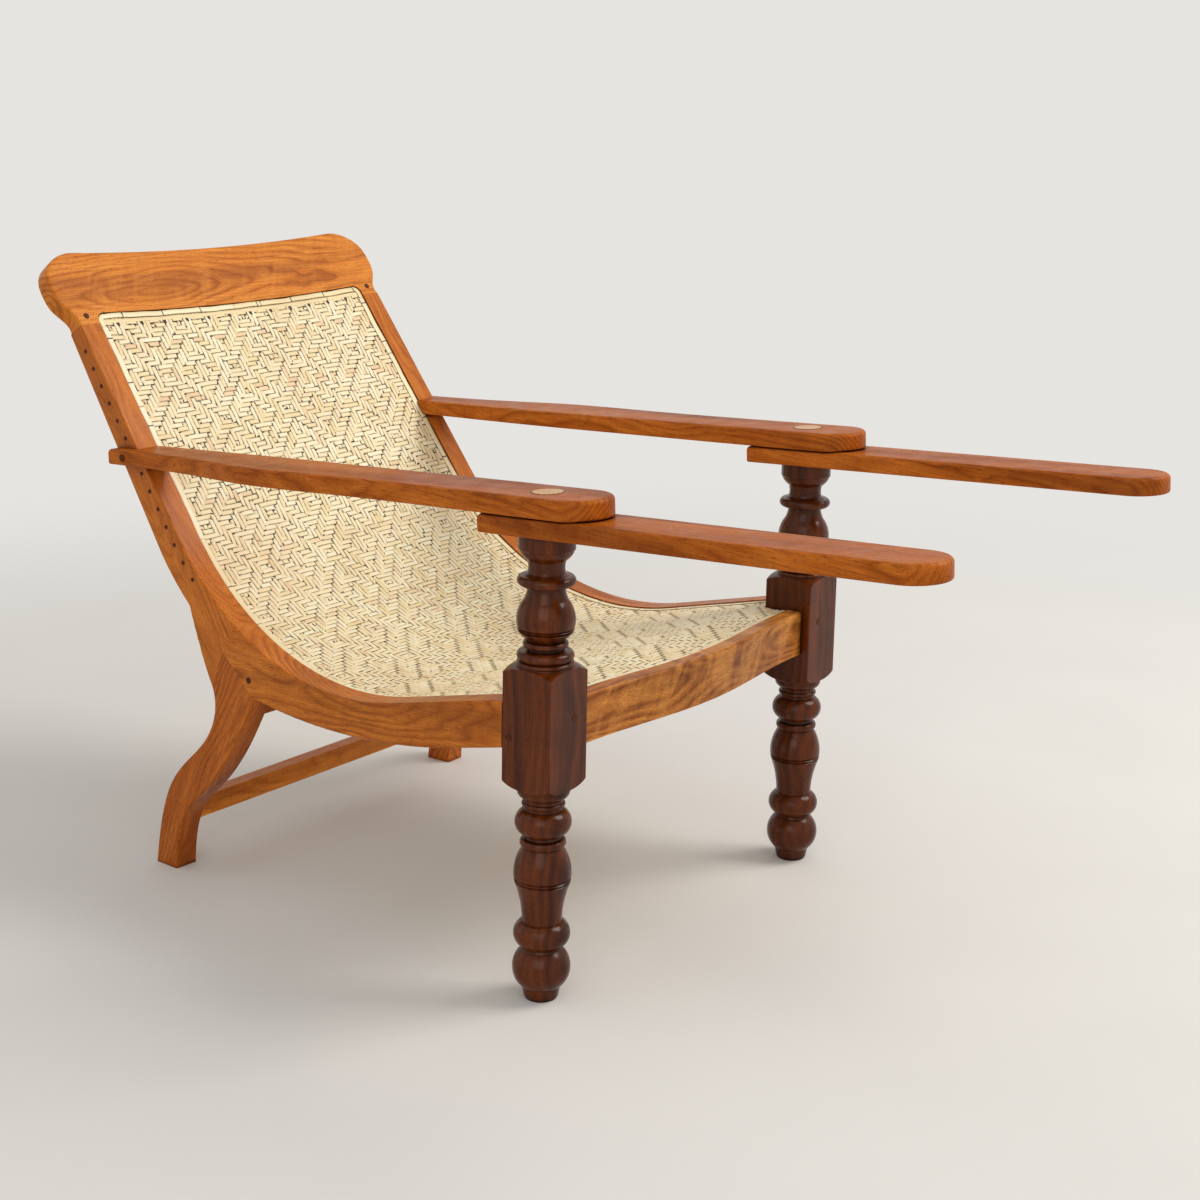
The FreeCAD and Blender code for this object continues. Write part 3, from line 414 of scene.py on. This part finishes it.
def binding(name, node, run, x, broad, finish, seed):
    """A line of lapped strips along a path on the cane, given as arrays of run and x.

    The path is measured and cut into equal lengths that lap. Each strip is the section carried
    along its length: across it in the surface, and up by its height plus a lift at the end that
    laps. It wavers a little by sine waves, and swells at its leaf nodes by a bell curve.
    """
    rng = np.random.default_rng(seed)
    distance = np.concatenate([[0], np.cumsum(np.hypot(np.diff(run), np.diff(x)))])
    whole = distance[-1]
    count = max(1, round(whole / STRIP_LENGTH))
    each = (whole + STRIP_LAP * (count - 1)) / count
    rings = int(each / STRIP_STEP) + 2
    t = np.arange(count)[:, None] * (each - STRIP_LAP) + np.linspace(0, each, rings)[None]
    t = np.minimum(t, whole)

    def on_path(t):
        return np.stack([np.interp(t, distance, run), np.interp(t, distance, x)])
    near = 1.5                     # how far off the direction of the path is taken
    path, ahead = on_path(t), on_path(t + near) - on_path(t - near)
    ahead /= np.hypot(*ahead)
    at_ends = np.clip(np.minimum(t, whole - t) / 40, 0, 1)
    waves = np.sin(t / 19 + rng.uniform(0, 6, (count, 1))) + 0.7 * np.sin(t / 8.3 + seed)
    wander = STRIP_WANDER * at_ends * waves
    past_node = np.mod(t + rng.uniform(0, NODE_GAP, (count, 1)), NODE_GAP) - NODE_GAP / 2
    knot = np.exp(-(past_node / NODE_LENGTH) ** 2)
    swell = 0.03 * np.sin(t / 23 + rng.uniform(0, 6, (count, 1))) + 0.05 * knot
    side = SECTION_ACROSS * (broad * (0.9 + swell))[..., None] + wander[..., None]
    lapped = np.clip(1 - (t - t[:, :1]) / STRIP_LAP, 0, 1) * (np.arange(count) > 0)[:, None]
    height = STRIP_HEIGHT + LAP_LIFT * lapped + NODE_LIFT * knot
    verts = lay(path[0][..., None] + side * ahead[1][..., None],
                path[1][..., None] - side * ahead[0][..., None],
                height[..., None] + SECTION_UP * STRIP_THICKNESS)
    tone = rng.uniform(0, 1, (count, 1, 1))
    ribbons(name, verts, np.ones(t.shape, bool), finish, node, t[..., None], side,
            tone, (knot > 0.9)[..., None])


def bindings(finish):
    """One run of strips to each CAD binder: across the top with its rounded corners, down both
    sides and along the serpentine front."""
    inset = STRIP_WIDTH / 2 + CANE_GAP
    half_top = float(side_limit(BACK_TOP))
    radius = CREST_CORNER - inset
    turn = np.linspace(0, math.pi / 2, 12)
    corner_x, corner_run = half_top - CREST_CORNER, BACK_TOP + CREST_ARCH - CREST_CORNER
    foot = BACK_TOP - 6.0
    x = np.linspace(-corner_x, corner_x, 60)
    right_x, right_run = -corner_x - radius * np.cos(turn), corner_run + radius * np.sin(turn)
    sagging = BACK_TOP + CREST_ARCH - inset - CREST_SAG * (1 - (x / half_top) ** 2)
    top_x = np.concatenate([[-half_top + inset], right_x, x, -right_x[::-1], [half_top - inset]])
    top_run = np.concatenate([[foot], right_run, sagging, right_run[::-1], [foot]])
    # the corners come down with the ends of the sagging edge
    shoulder = (np.abs(top_x) >= corner_x) & (top_run > corner_run)
    drop = CREST_SAG * (1 - (corner_x / half_top) ** 2)
    top_run = top_run - np.where(shoulder, drop * (top_run - corner_run) / radius, 0)
    binding("cane_binding_top", "top_cane_binder", top_run, top_x, STRIP_WIDTH, finish, 21)
    behind_post = math.asin((REAR_OF_POST + CANE_GAP - CROWN_Y) / RADIUS_CROWN) * RADIUS_CROWN
    run = np.linspace(behind_post + 0.5, foot, 500)
    side_x = side_limit(run) - SIDE_STRIP_WIDTH / 2 - CANE_GAP
    for sign, side in ((-1, "right"), (1, "left")):
        binding("cane_binding_" + side, side + "_cane_binder", run, sign * side_x,
                SIDE_STRIP_WIDTH, finish, 22 + sign)
    x = np.linspace(-THROAT_HALF + CANE_GAP + 0.5, THROAT_HALF - CANE_GAP - 0.5, 160)
    front_run = front_limit(x) - CROWN_Y + inset
    binding("cane_binding_front", "front_cane_binder", front_run, x, STRIP_WIDTH, finish, 26)


# Finishes

def streaks(tree, vector, scale, detail=2.0, shift=(0.0, 0.0, 0.0), **inputs):
    """Noise that is drawn out along the axes on which its scale, in cells to the metre, is low."""
    drawn = add(tree, "VectorMath", {0: vector, 1: scale, 2: shift}, operation="MULTIPLY_ADD")
    return add(tree, "TexNoise", {"Vector": drawn, "Scale": 1.0, "Detail": detail, **inputs})


def layered(tree, base, *layers):
    """Lays colours over a base in turn. Each layer is a pattern, the stops that turn it into the
    layer's share, and the layer's colour."""
    for pattern, stops, colour in layers:
        share = add(tree, "ValToRGB", {"Fac": pattern}, stops)
        base = add(tree, "Mix", {0: share, 6: base, 7: colour}, data_type="RGBA").outputs[2]
    return base


def shaded(tree, base, pattern, *stops):
    """Darkens a colour by the tints that the stops give a pattern."""
    tint = add(tree, "ValToRGB", {"Fac": pattern}, stops)
    both = add(tree, "Mix", {0: 1.0, 6: base, 7: tint}, data_type="RGBA", blend_type="MULTIPLY")
    return both.outputs[2]


def split_cane(name, nodes_apart, gloss):
    """Peeled and split rattan, woven dry: pale straw, each strand its own tone, with fine fibre
    lines along it, brown scars where the leaves grew, nodes_apart millimetres from one another,
    and a low, dry gloss on its outer skin."""
    made, tree, shader = material(name)
    tone = add(tree, "Attribute", attribute_name="strand_tone").outputs["Fac"]
    # painted shade in the weave's gaps, and the marks at the binding's leaf nodes
    shade_and_stain = add(tree, "Attribute", attribute_name="strand_shade_and_stain").outputs["Fac"]
    place = add(tree, "TexCoord").outputs["Object"]
    flat = add(tree, "SeparateXYZ", {"Vector": add(tree, "UVMap", uv_map="strand")}).outputs
    strand = add(tree, "CombineXYZ", {"X": flat["X"], "Y": flat["Y"], "Z": tone})
    # fibres 0.3 mm wide and some 40 mm long
    fibres = streaks(tree, strand, (25, 3300, 40), 3)
    flecks = streaks(tree, strand, (9, 1100, 90))
    # cloudy ageing, patches a hand wide
    cloud = streaks(tree, place, (11, 11, 11), 4)
    # leaf scars across the strand, two or three millimetres wide, at uneven distances that start
    # somewhere else on each strand
    moved = add(tree, "Math", {0: tone, 1: 7.3, 2: flat["X"]}, operation="MULTIPLY_ADD")
    scars = add(tree, "TexVoronoi", {"W": moved, "Scale": 1 / (nodes_apart * MM)},
                voronoi_dimensions="1D").outputs["Distance"]
    scar = add(tree, "Math", {0: scars, 1: nodes_apart / 10}, operation="MULTIPLY")
    colour = layered(tree, add(tree, "ValToRGB", {"Fac": tone}, STRAW),
                     (cloud, ((0.45, 0), (0.8, 0.4)), "#dfb98a"),
                     (fibres, ((0.36, 0.22), (0.58, 0)), "#c9a468"),
                     (flecks, ((0.68, 0), (0.8, 0.35)), "#a9783f"),
                     (scar, ((0.0, 0.75), (0.09, 0.5), (0.17, 0)), "#7b4a22"))
    # painted shade where strands dive under one another, in patches and weaker on the seat, below
    # 0.4 m; on the binding the same layer marks the leaf nodes
    patchy = streaks(tree, place, (70, 70, 70), 3)
    gap_shade_patchiness = add(tree, "Math", {0: patchy, 1: 0.7, 2: 0.6}, operation="MULTIPLY_ADD")
    height = add(tree, "SeparateXYZ", {"Vector": place}).outputs["Z"]
    shade_by_height = add(tree, "ValToRGB", {"Fac": height}, ((0.4, 0.76), (0.52, 1.0)))
    left = add(tree, "Math", {0: shade_by_height, 1: gap_shade_patchiness}, operation="MULTIPLY")
    gaps = add(tree, "Math", {0: shade_and_stain, 1: left}, operation="MULTIPLY")
    colour = layered(tree, colour, (gaps, ((0.46, 0), (0.64, 0.97)), "#1d0e04"))
    # painted shade where strands lie close over and beside one another
    crevice_shade = add(tree, "AmbientOcclusion", {"Distance": 0.003}, samples=8).outputs["AO"]
    colour = shaded(tree, colour, crevice_shade, (0.12, "#2c1808"), (0.28, "#a5814f"),
                    (0.42, "#f9f1e0"), (0.6, "#ffffff"))
    rough = add(tree, "ValToRGB", {"Fac": fibres}, ((0.3, gloss), (0.7, gloss + 0.14)))
    bump = add(tree, "Bump", {"Height": fibres, "Strength": 0.3, "Distance": 0.0002})
    put(tree, shader, {"Base Color": colour, "Normal": bump, "Roughness": rough})
    return made


def polished_teak(name, wood, grain, face, centre, heart=0.045, across=0.0, swirl=0.02,
                  reach=0.12, ring=7.0, plain=0.55, rough=0.36, coat=0.08, shine=0.12,
                  ribbon_sheen=0.15, seed=0.0, over=None):
    """Teak planed and sanded, then stained and French polished: growth rings drawn as long flames,
    open pores as short dark dashes along the grain, and a thin clear gloss over both.

    The rings, ring millimetres apart, are round a line along the grain, heart metres under a point
    of the board's face and as far to its side as across says. On both sides of the point the line
    sinks by swirl metres within its reach, by a bell curve, which closes some rings to ovals and
    lets the rest run on lengthwise. plain is how much of the figure is lost in an even tone. over
    lays something more over the colour.
    """
    light, middle, dark, pore = WOODS[wood]
    made, tree, shader = material(name)
    along = np.array(grain, float) / np.linalg.norm(grain)
    out = np.array(face, float) - np.dot(face, along) * along
    out /= np.linalg.norm(out)
    rows = np.stack([along, np.cross(out, along), out])
    to_heart = -rows @ np.array(centre) + (0, -across, heart)
    place = add(tree, "TexCoord").outputs["Object"]
    turned = add(tree, "Mapping", {"Vector": place, "Location": to_heart.tolist(),
                                   "Rotation": Matrix(rows.tolist()).to_euler()})
    shift = (seed, seed * 0.7, seed * 1.3)
    # slow waver, a few centimetres across and several times as long
    slow = streaks(tree, turned, (4.5, 14, 14), 3, shift, Roughness=0.4)
    parts = add(tree, "SeparateXYZ", {"Vector": turned}).outputs
    squared = add(tree, "Math", {0: parts["X"], 1: parts["X"]}, operation="MULTIPLY")
    narrowed = add(tree, "Math", {0: squared, 1: -1 / reach ** 2}, operation="MULTIPLY")
    bell = add(tree, "Math", {0: narrowed}, operation="EXPONENT")
    deep = add(tree, "Math", {0: bell, 1: -swirl, 2: parts["Z"]}, operation="MULTIPLY_ADD")
    section = add(tree, "CombineXYZ", {"X": 0.0, "Y": parts["Y"], "Z": deep})
    radius = add(tree, "VectorMath", {0: section}, operation="LENGTH").outputs["Value"]
    wavering = add(tree, "Math", {0: slow, 1: 0.05, 2: radius}, operation="MULTIPLY_ADD")
    years = add(tree, "Math", {0: wavering, 1: 1000 / ring}, operation="MULTIPLY")
    share = add(tree, "Math", {0: years}, operation="FRACT")
    # each year's ring: light early wood, slowly darker, then a thin dark line
    figure = add(tree, "ValToRGB", {"Fac": share},
                 ((0, middle), (0.3, light), (0.7, middle), (0.9, dark), (1, middle)))
    # fine fibre, a millimetre across; pores half a millimetre across and 9 mm long
    fibre = streaks(tree, turned, (12, 900, 900), 4, Roughness=0.6)
    pores = streaks(tree, turned, (110, 1700, 1700), 1)
    # heart and sap colour in bands some 40 mm wide; the rings stand out more in some places
    bands = streaks(tree, turned, (1.3, 24, 24), 2, shift)
    clear = streaks(tree, turned, (6, 12, 12), 1, shift)
    # ribbon figure: the tone ripples paler across the grain, in slanting waves some 50 mm long; the
    # figure is grain, its paler shimmer a painted sheen
    slanted = add(tree, "Mapping", {"Vector": turned, "Rotation": (0, 0, 0.5)})
    ribbon = streaks(tree, slanted, (26, 6, 6), 3, shift, Distortion=1.0)
    # the edges are painted paler, partly as rubbing by hands and cloth and partly as a painted
    # highlight
    rubbed_and_lit_edges = add(tree, "AmbientOcclusion", {"Distance": 0.004}, samples=6, inside=True)
    colour = layered(tree, figure,
                     (clear, ((0.35, (1 + plain) / 2), (0.62, plain)), middle),
                     (bands, ((0.3, 0.6), (0.5, 0.0)), dark),
                     (bands, ((0.52, 0.0), (0.72, 0.6)), light),
                     (ribbon, ((0.45, 0.0), (0.65, ribbon_sheen)), light),
                     (fibre, ((0.38, 0.45), (0.6, 0)), dark),
                     (pores, ((0.6, 0.0), (0.7, 0.7)), pore),
                     (rubbed_and_lit_edges.outputs["AO"], ((0.25, 0.45), (0.5, 0.0)), light))
    # painted shade in the corners and hollows, partly old polish gathered there
    crevice_shade = add(tree, "AmbientOcclusion", {"Distance": 0.012}, samples=8).outputs["AO"]
    colour = shaded(tree, colour, crevice_shade, (0.25, "#4a2a12"), (0.8, "#ffffff"))
    if over:
        colour = over(tree, colour, place)
    bump = add(tree, "Bump", {"Height": pores, "Strength": 0.12, "Distance": 0.0003}, invert=True)
    smears = streaks(tree, place, (35, 35, 35), 3)
    gloss = add(tree, "ValToRGB", {"Fac": smears}, ((0.3, rough - 0.04), (0.7, rough + 0.1)))
    put(tree, shader, {"Base Color": colour, "Normal": bump, "Roughness": gloss,
                       "Coat Weight": coat, "Coat Roughness": 0.12, "Specular IOR Level": shine})
    return made


def from_leg_axis(tree, place):
    """The place in plan seen from the axis of the nearer front leg, both sides alike."""
    parts = add(tree, "SeparateXYZ", {"Vector": place}).outputs
    mirrored = add(tree, "Math", {0: parts["X"]}, operation="ABSOLUTE")
    flat = add(tree, "CombineXYZ", {"X": mirrored, "Y": parts["Y"], "Z": 0.0})
    axis = (LEG_AXIS_X, LEG_AXIS_Y, 0)
    return add(tree, "VectorMath", {0: flat, 1: axis}, operation="SUBTRACT")


def end_grain_disc(tree, colour, place):
    """The end of a leg's round tenon, which shows on the arm as a pale disc with rings."""
    centred = from_leg_axis(tree, place)
    # growth rings 5 mm apart, cut across, round a heart beside the disc
    beside = add(tree, "VectorMath", {0: centred, 1: (-0.011, 0.006, 0)}, operation="ADD")
    rings = add(tree, "TexWave", {"Vector": beside, "Scale": 62.0, "Distortion": 1.5,
                                  "Detail": 2.0}, wave_type="RINGS", rings_direction="Z")
    pale = add(tree, "ValToRGB", {"Fac": rings.outputs["Fac"]},
               ((0, "#ad7030"), (0.5, "#cc9148"), (1, "#dca65c")))
    specks = streaks(tree, centred, (1500, 1500, 1500))
    speckled = layered(tree, pale, (specks, ((0.55, 0), (0.7, 0.4)), "#7d4f25"))
    height = add(tree, "SeparateXYZ", {"Vector": place}).outputs["Z"]
    on_top = add(tree, "Math", {0: height, 1: ARM_TOP - TENON_END}, operation="GREATER_THAN")
    return add(tree, "Mix", {0: on_top, 6: colour, 7: speckled}, data_type="RGBA").outputs[2]


def tenon_line(tree, colour, place):
    """The thin dark line of polish and dust round the tenon's end, in the arm's top."""
    away = add(tree, "VectorMath", {0: from_leg_axis(tree, place)}, operation="LENGTH")
    # as a share of 40 mm
    share = add(tree, "Math", {0: away.outputs["Value"], 1: 25.0}, operation="MULTIPLY")
    return shaded(tree, colour, share, (0.47, "#ffffff"), (0.485, "#4a2a14"),
                  (0.505, "#4a2a14"), (0.56, "#ffffff"))


def peg_end():
    """Hardwood pegs driven flush and polished over: dark brown end grain with darker specks."""
    made, tree, shader = material("hardwood_peg_end")
    place = add(tree, "TexCoord").outputs["Object"]
    specks = streaks(tree, place, (900, 900, 900), 3)
    cloud = streaks(tree, place, (60, 60, 60))
    base = add(tree, "ValToRGB", {"Fac": cloud}, ((0.3, "#3c1a08"), (0.7, "#5a2a0e")))
    colour = layered(tree, base, (specks, ((0.5, 0), (0.7, 0.5)), "#1f0d04"))
    rough = add(tree, "ValToRGB", {"Fac": cloud}, ((0.3, 0.35), (0.7, 0.5)))
    bump = add(tree, "Bump", {"Height": specks, "Strength": 0.3, "Distance": 0.0003})
    put(tree, shader, {"Base Color": colour, "Normal": bump, "Roughness": rough,
                       "Specular IOR Level": 0.12})
    return made


def dress(node, finish):
    """Gives a CAD node its finish."""
    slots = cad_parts[node].data.materials
    slots.clear()
    slots.append(finish)


def on_back(run, x=0.0):
    """A point of the back's front face at a distance up from the hollow, in metres."""
    y = HOLLOW_Y + HOLLOW_RADIUS * math.sin(RISE) + run * math.cos(RISE)
    z = HOLLOW_Z - HOLLOW_RADIUS * math.cos(RISE) + run * math.sin(RISE)
    return x, y * MM + LEG_AXIS_Y, z * MM


def dress_all():
    """One board, one finish: every piece of wood has its own grain direction and its own rings."""
    crosswise, forward, upward = (1, 0, 0), (0, -1, 0), (0, 0, 1)
    back_up = (0, math.cos(RISE), math.sin(RISE))
    back_out = (0, -math.sin(RISE), math.cos(RISE))
    dress("crest_rail", polished_teak(
        "polished_teak_crest", "honey", crosswise, back_out, on_back(398, -0.14), heart=0.036,
        swirl=0.034, reach=0.17, ring=9.0, plain=0.2, ribbon_sheen=0.35, seed=1.3))
    dress("front_rail", polished_teak(
        "polished_teak_front_rail", "figured", crosswise, forward, (-0.1, -0.25, 0.3), heart=0.05,
        across=0.07, plain=0.35, ribbon_sheen=0.6, seed=4.1))
    dress("back_cross_rail", polished_teak(
        "polished_teak_cross_rail", "brown", crosswise, forward, (0.05, 0.34, 0.27), seed=5.2))
    dress("rear_stretcher", polished_teak(
        "polished_teak_stretcher", "honey", crosswise, forward, (-0.1, 0.455, 0.09), seed=6.7))
    pegs = peg_end()
    for sign, side in ((-1, "right"), (1, "left")):
        x, outward = sign * LEG_AXIS_X, (sign, 0, 0)
        dress(side + "_front_leg", polished_teak(
            "polished_teak_turned_%s_leg" % side, "dark", upward, forward,
            (x, LEG_AXIS_Y - 0.038, 0.36), heart=0.06, across=0.03, ring=14.0, plain=0.5,
            rough=0.22, coat=0.22, shine=0.1, seed=7.0 + sign, over=end_grain_disc))
        dress(side + "_back_stile", polished_teak(
            "polished_teak_%s_stile" % side, "orange", back_up, outward,
            on_back(120, sign * 0.32), across=0.03, seed=9.0 + sign))
        dress(side + "_seat_rail", polished_teak(
            "polished_teak_%s_seat_rail" % side, "orange", (0, 1, -0.08), outward,
            (sign * 0.335, 0.06, 0.345), plain=0.35, seed=12.0 + sign))
        dress(side + "_rear_leg", polished_teak(
            "polished_teak_%s_rear_leg" % side, "brown", (0, 0.42, -0.9), outward,
            (sign * 0.325, 0.36, 0.15), plain=0.45, seed=15.0 + sign))
        for part, y, seed, over in (("armrest", 0.15, 18.0, tenon_line),
                                    ("leg_rest", -0.45, 21.0, None)):
            dress("%s_%s" % (side, part), polished_teak(
                "polished_teak_%s_%s" % (side, part), "brown", (0, 1, 0.055), upward,
                (x, y, ARM_TOP - 0.02), heart=0.03, across=0.09 * sign, swirl=0.008, plain=0.4,
                coat=0.05, shine=0.07, seed=seed + sign, over=over))
        dress(side + "_cane_pegs", pegs)
    for node in ("crest_pegs", "leg_pegs", "post_pegs", "arm_pegs"):
        dress(node, pegs)


# Stage, light and camera

def seen_directly(tree):
    """1 for the camera, reflections and what is seen through glass."""
    path = add(tree, "LightPath").outputs
    seen = path["Is Camera Ray"]
    for other in ("Is Glossy Ray", "Is Transmission Ray"):
        seen = add(tree, "Math", {0: seen, 1: path[other]}, operation="MAXIMUM")
    return seen


def stage():
    """A pale floor and a pale room. Far off the floor turns into the colour of the room, so that
    no horizon shows; only the camera and the polish see that colour."""
    mesh = bpy.data.meshes.new("studio_floor")
    r = FLOOR_REACH
    mesh.from_pydata([(-r, -r, 0), (r, -r, 0), (r, r, 0), (-r, r, 0)], [], [(0, 1, 2, 3)])
    floor = bpy.data.objects.new("studio_floor", mesh)
    bpy.context.scene.collection.objects.link(floor)
    made, tree, shader = material("matt_paper_floor")
    place = add(tree, "TexCoord").outputs["Object"]
    mottle = streaks(tree, place, (3, 3, 3), 4)
    paper = add(tree, "ValToRGB", {"Fac": mottle}, ((0.3, "#e0deda"), (0.7, "#e3e1dd")))
    put(tree, shader, {"Base Color": paper, "Roughness": 0.85, "Specular IOR Level": 0.1})
    away = add(tree, "VectorMath", {0: place}, operation="LENGTH").outputs["Value"]
    share = add(tree, "MapRange", {"Value": away, "From Min": 1.1, "From Max": 3.2},
                interpolation_type="SMOOTHERSTEP")
    far = add(tree, "Math", {0: share, 1: seen_directly(tree)}, operation="MULTIPLY")
    pale = add(tree, "Emission", {"Color": ROOM})
    both = add(tree, "MixShader", {0: far, 1: shader, 2: pale})
    put(tree, tree.nodes["Material Output"], {"Surface": both})
    mesh.materials.append(made)

    world = bpy.data.worlds.new("studio")
    bpy.context.scene.world = world
    world.use_nodes = True
    tree = world.node_tree
    tree.nodes.clear()
    room = add(tree, "Background", {"Color": "#ffffff", "Strength": 0.62})
    pale = add(tree, "Background", {"Color": ROOM, "Strength": 1.0})
    both = add(tree, "MixShader", {0: seen_directly(tree), 1: room, 2: pale})
    add(tree, "OutputWorld", {"Surface": both})


def stand(data, axes, place):
    """Puts a lamp or a camera at a place with its own x, y and z along the axes."""
    thing = bpy.data.objects.new(data.name, data)
    rows = [(*row, p) for row, p in zip(np.stack(axes, 1), place)]
    thing.matrix_world = Matrix(rows + [(0, 0, 0, 1)])
    bpy.context.scene.collection.objects.link(thing)
    return thing


def soft_light(name, place, target, size, power, colour):
    """A square soft box that looks at a point."""
    data = bpy.data.lights.new(name, "AREA")
    data.shape, data.size, data.energy, data.color = "SQUARE", size, power, linear(colour)[:3]
    back = np.array(place, float) - np.array(target, float)
    back /= np.linalg.norm(back)
    side = np.cross((0, 0, 1), back)
    side /= np.linalg.norm(side)
    stand(data, [side, np.cross(back, side), back], place)


def lights():
    """A large soft box high on the sitter's left, and a weak one low on the right."""
    middle = (0, 0, 0.4)
    soft_light("key_softbox", (2.5, -2.6, 4.0), middle, 2.4, 138, "#fffaf2")
    soft_light("fill_softbox", (-3.4, -1.8, 2.2), middle, 2.6, 26, "#fffdf8")


def camera():
    """At the photograph's place: turned by yaw, pitch and roll, with a long lens and a small
    shift."""
    yaw, pitch, roll = (math.radians(angle) for angle in (53.21, 11.59, 1.11))
    level = np.array([math.cos(yaw), -math.sin(yaw), 0.0])
    ahead = np.array([math.cos(pitch) * math.sin(yaw), math.cos(pitch) * math.cos(yaw),
                      -math.sin(pitch)])
    up = np.cross(level, ahead)
    right = level * math.cos(roll) + up * math.sin(roll)
    above = -level * math.sin(roll) + up * math.cos(roll)
    data = bpy.data.cameras.new("photo_camera")
    data.sensor_width, data.lens = 36.0, 36.0 * 1.68
    data.sensor_fit = "AUTO"
    data.shift_y = -0.1
    place = (-2.1836, -1.6894, 1.1662)
    bpy.context.scene.camera = stand(data, [right, above, -ahead], place)


camera()
lights()
stage()
dress_all()
weave(split_cane("split_rattan_weave", nodes_apart=900.0, gloss=0.42))
bindings(split_cane("rattan_skin_binding", nodes_apart=400.0, gloss=0.34))
bpy.context.scene.view_settings.view_transform = "Standard"
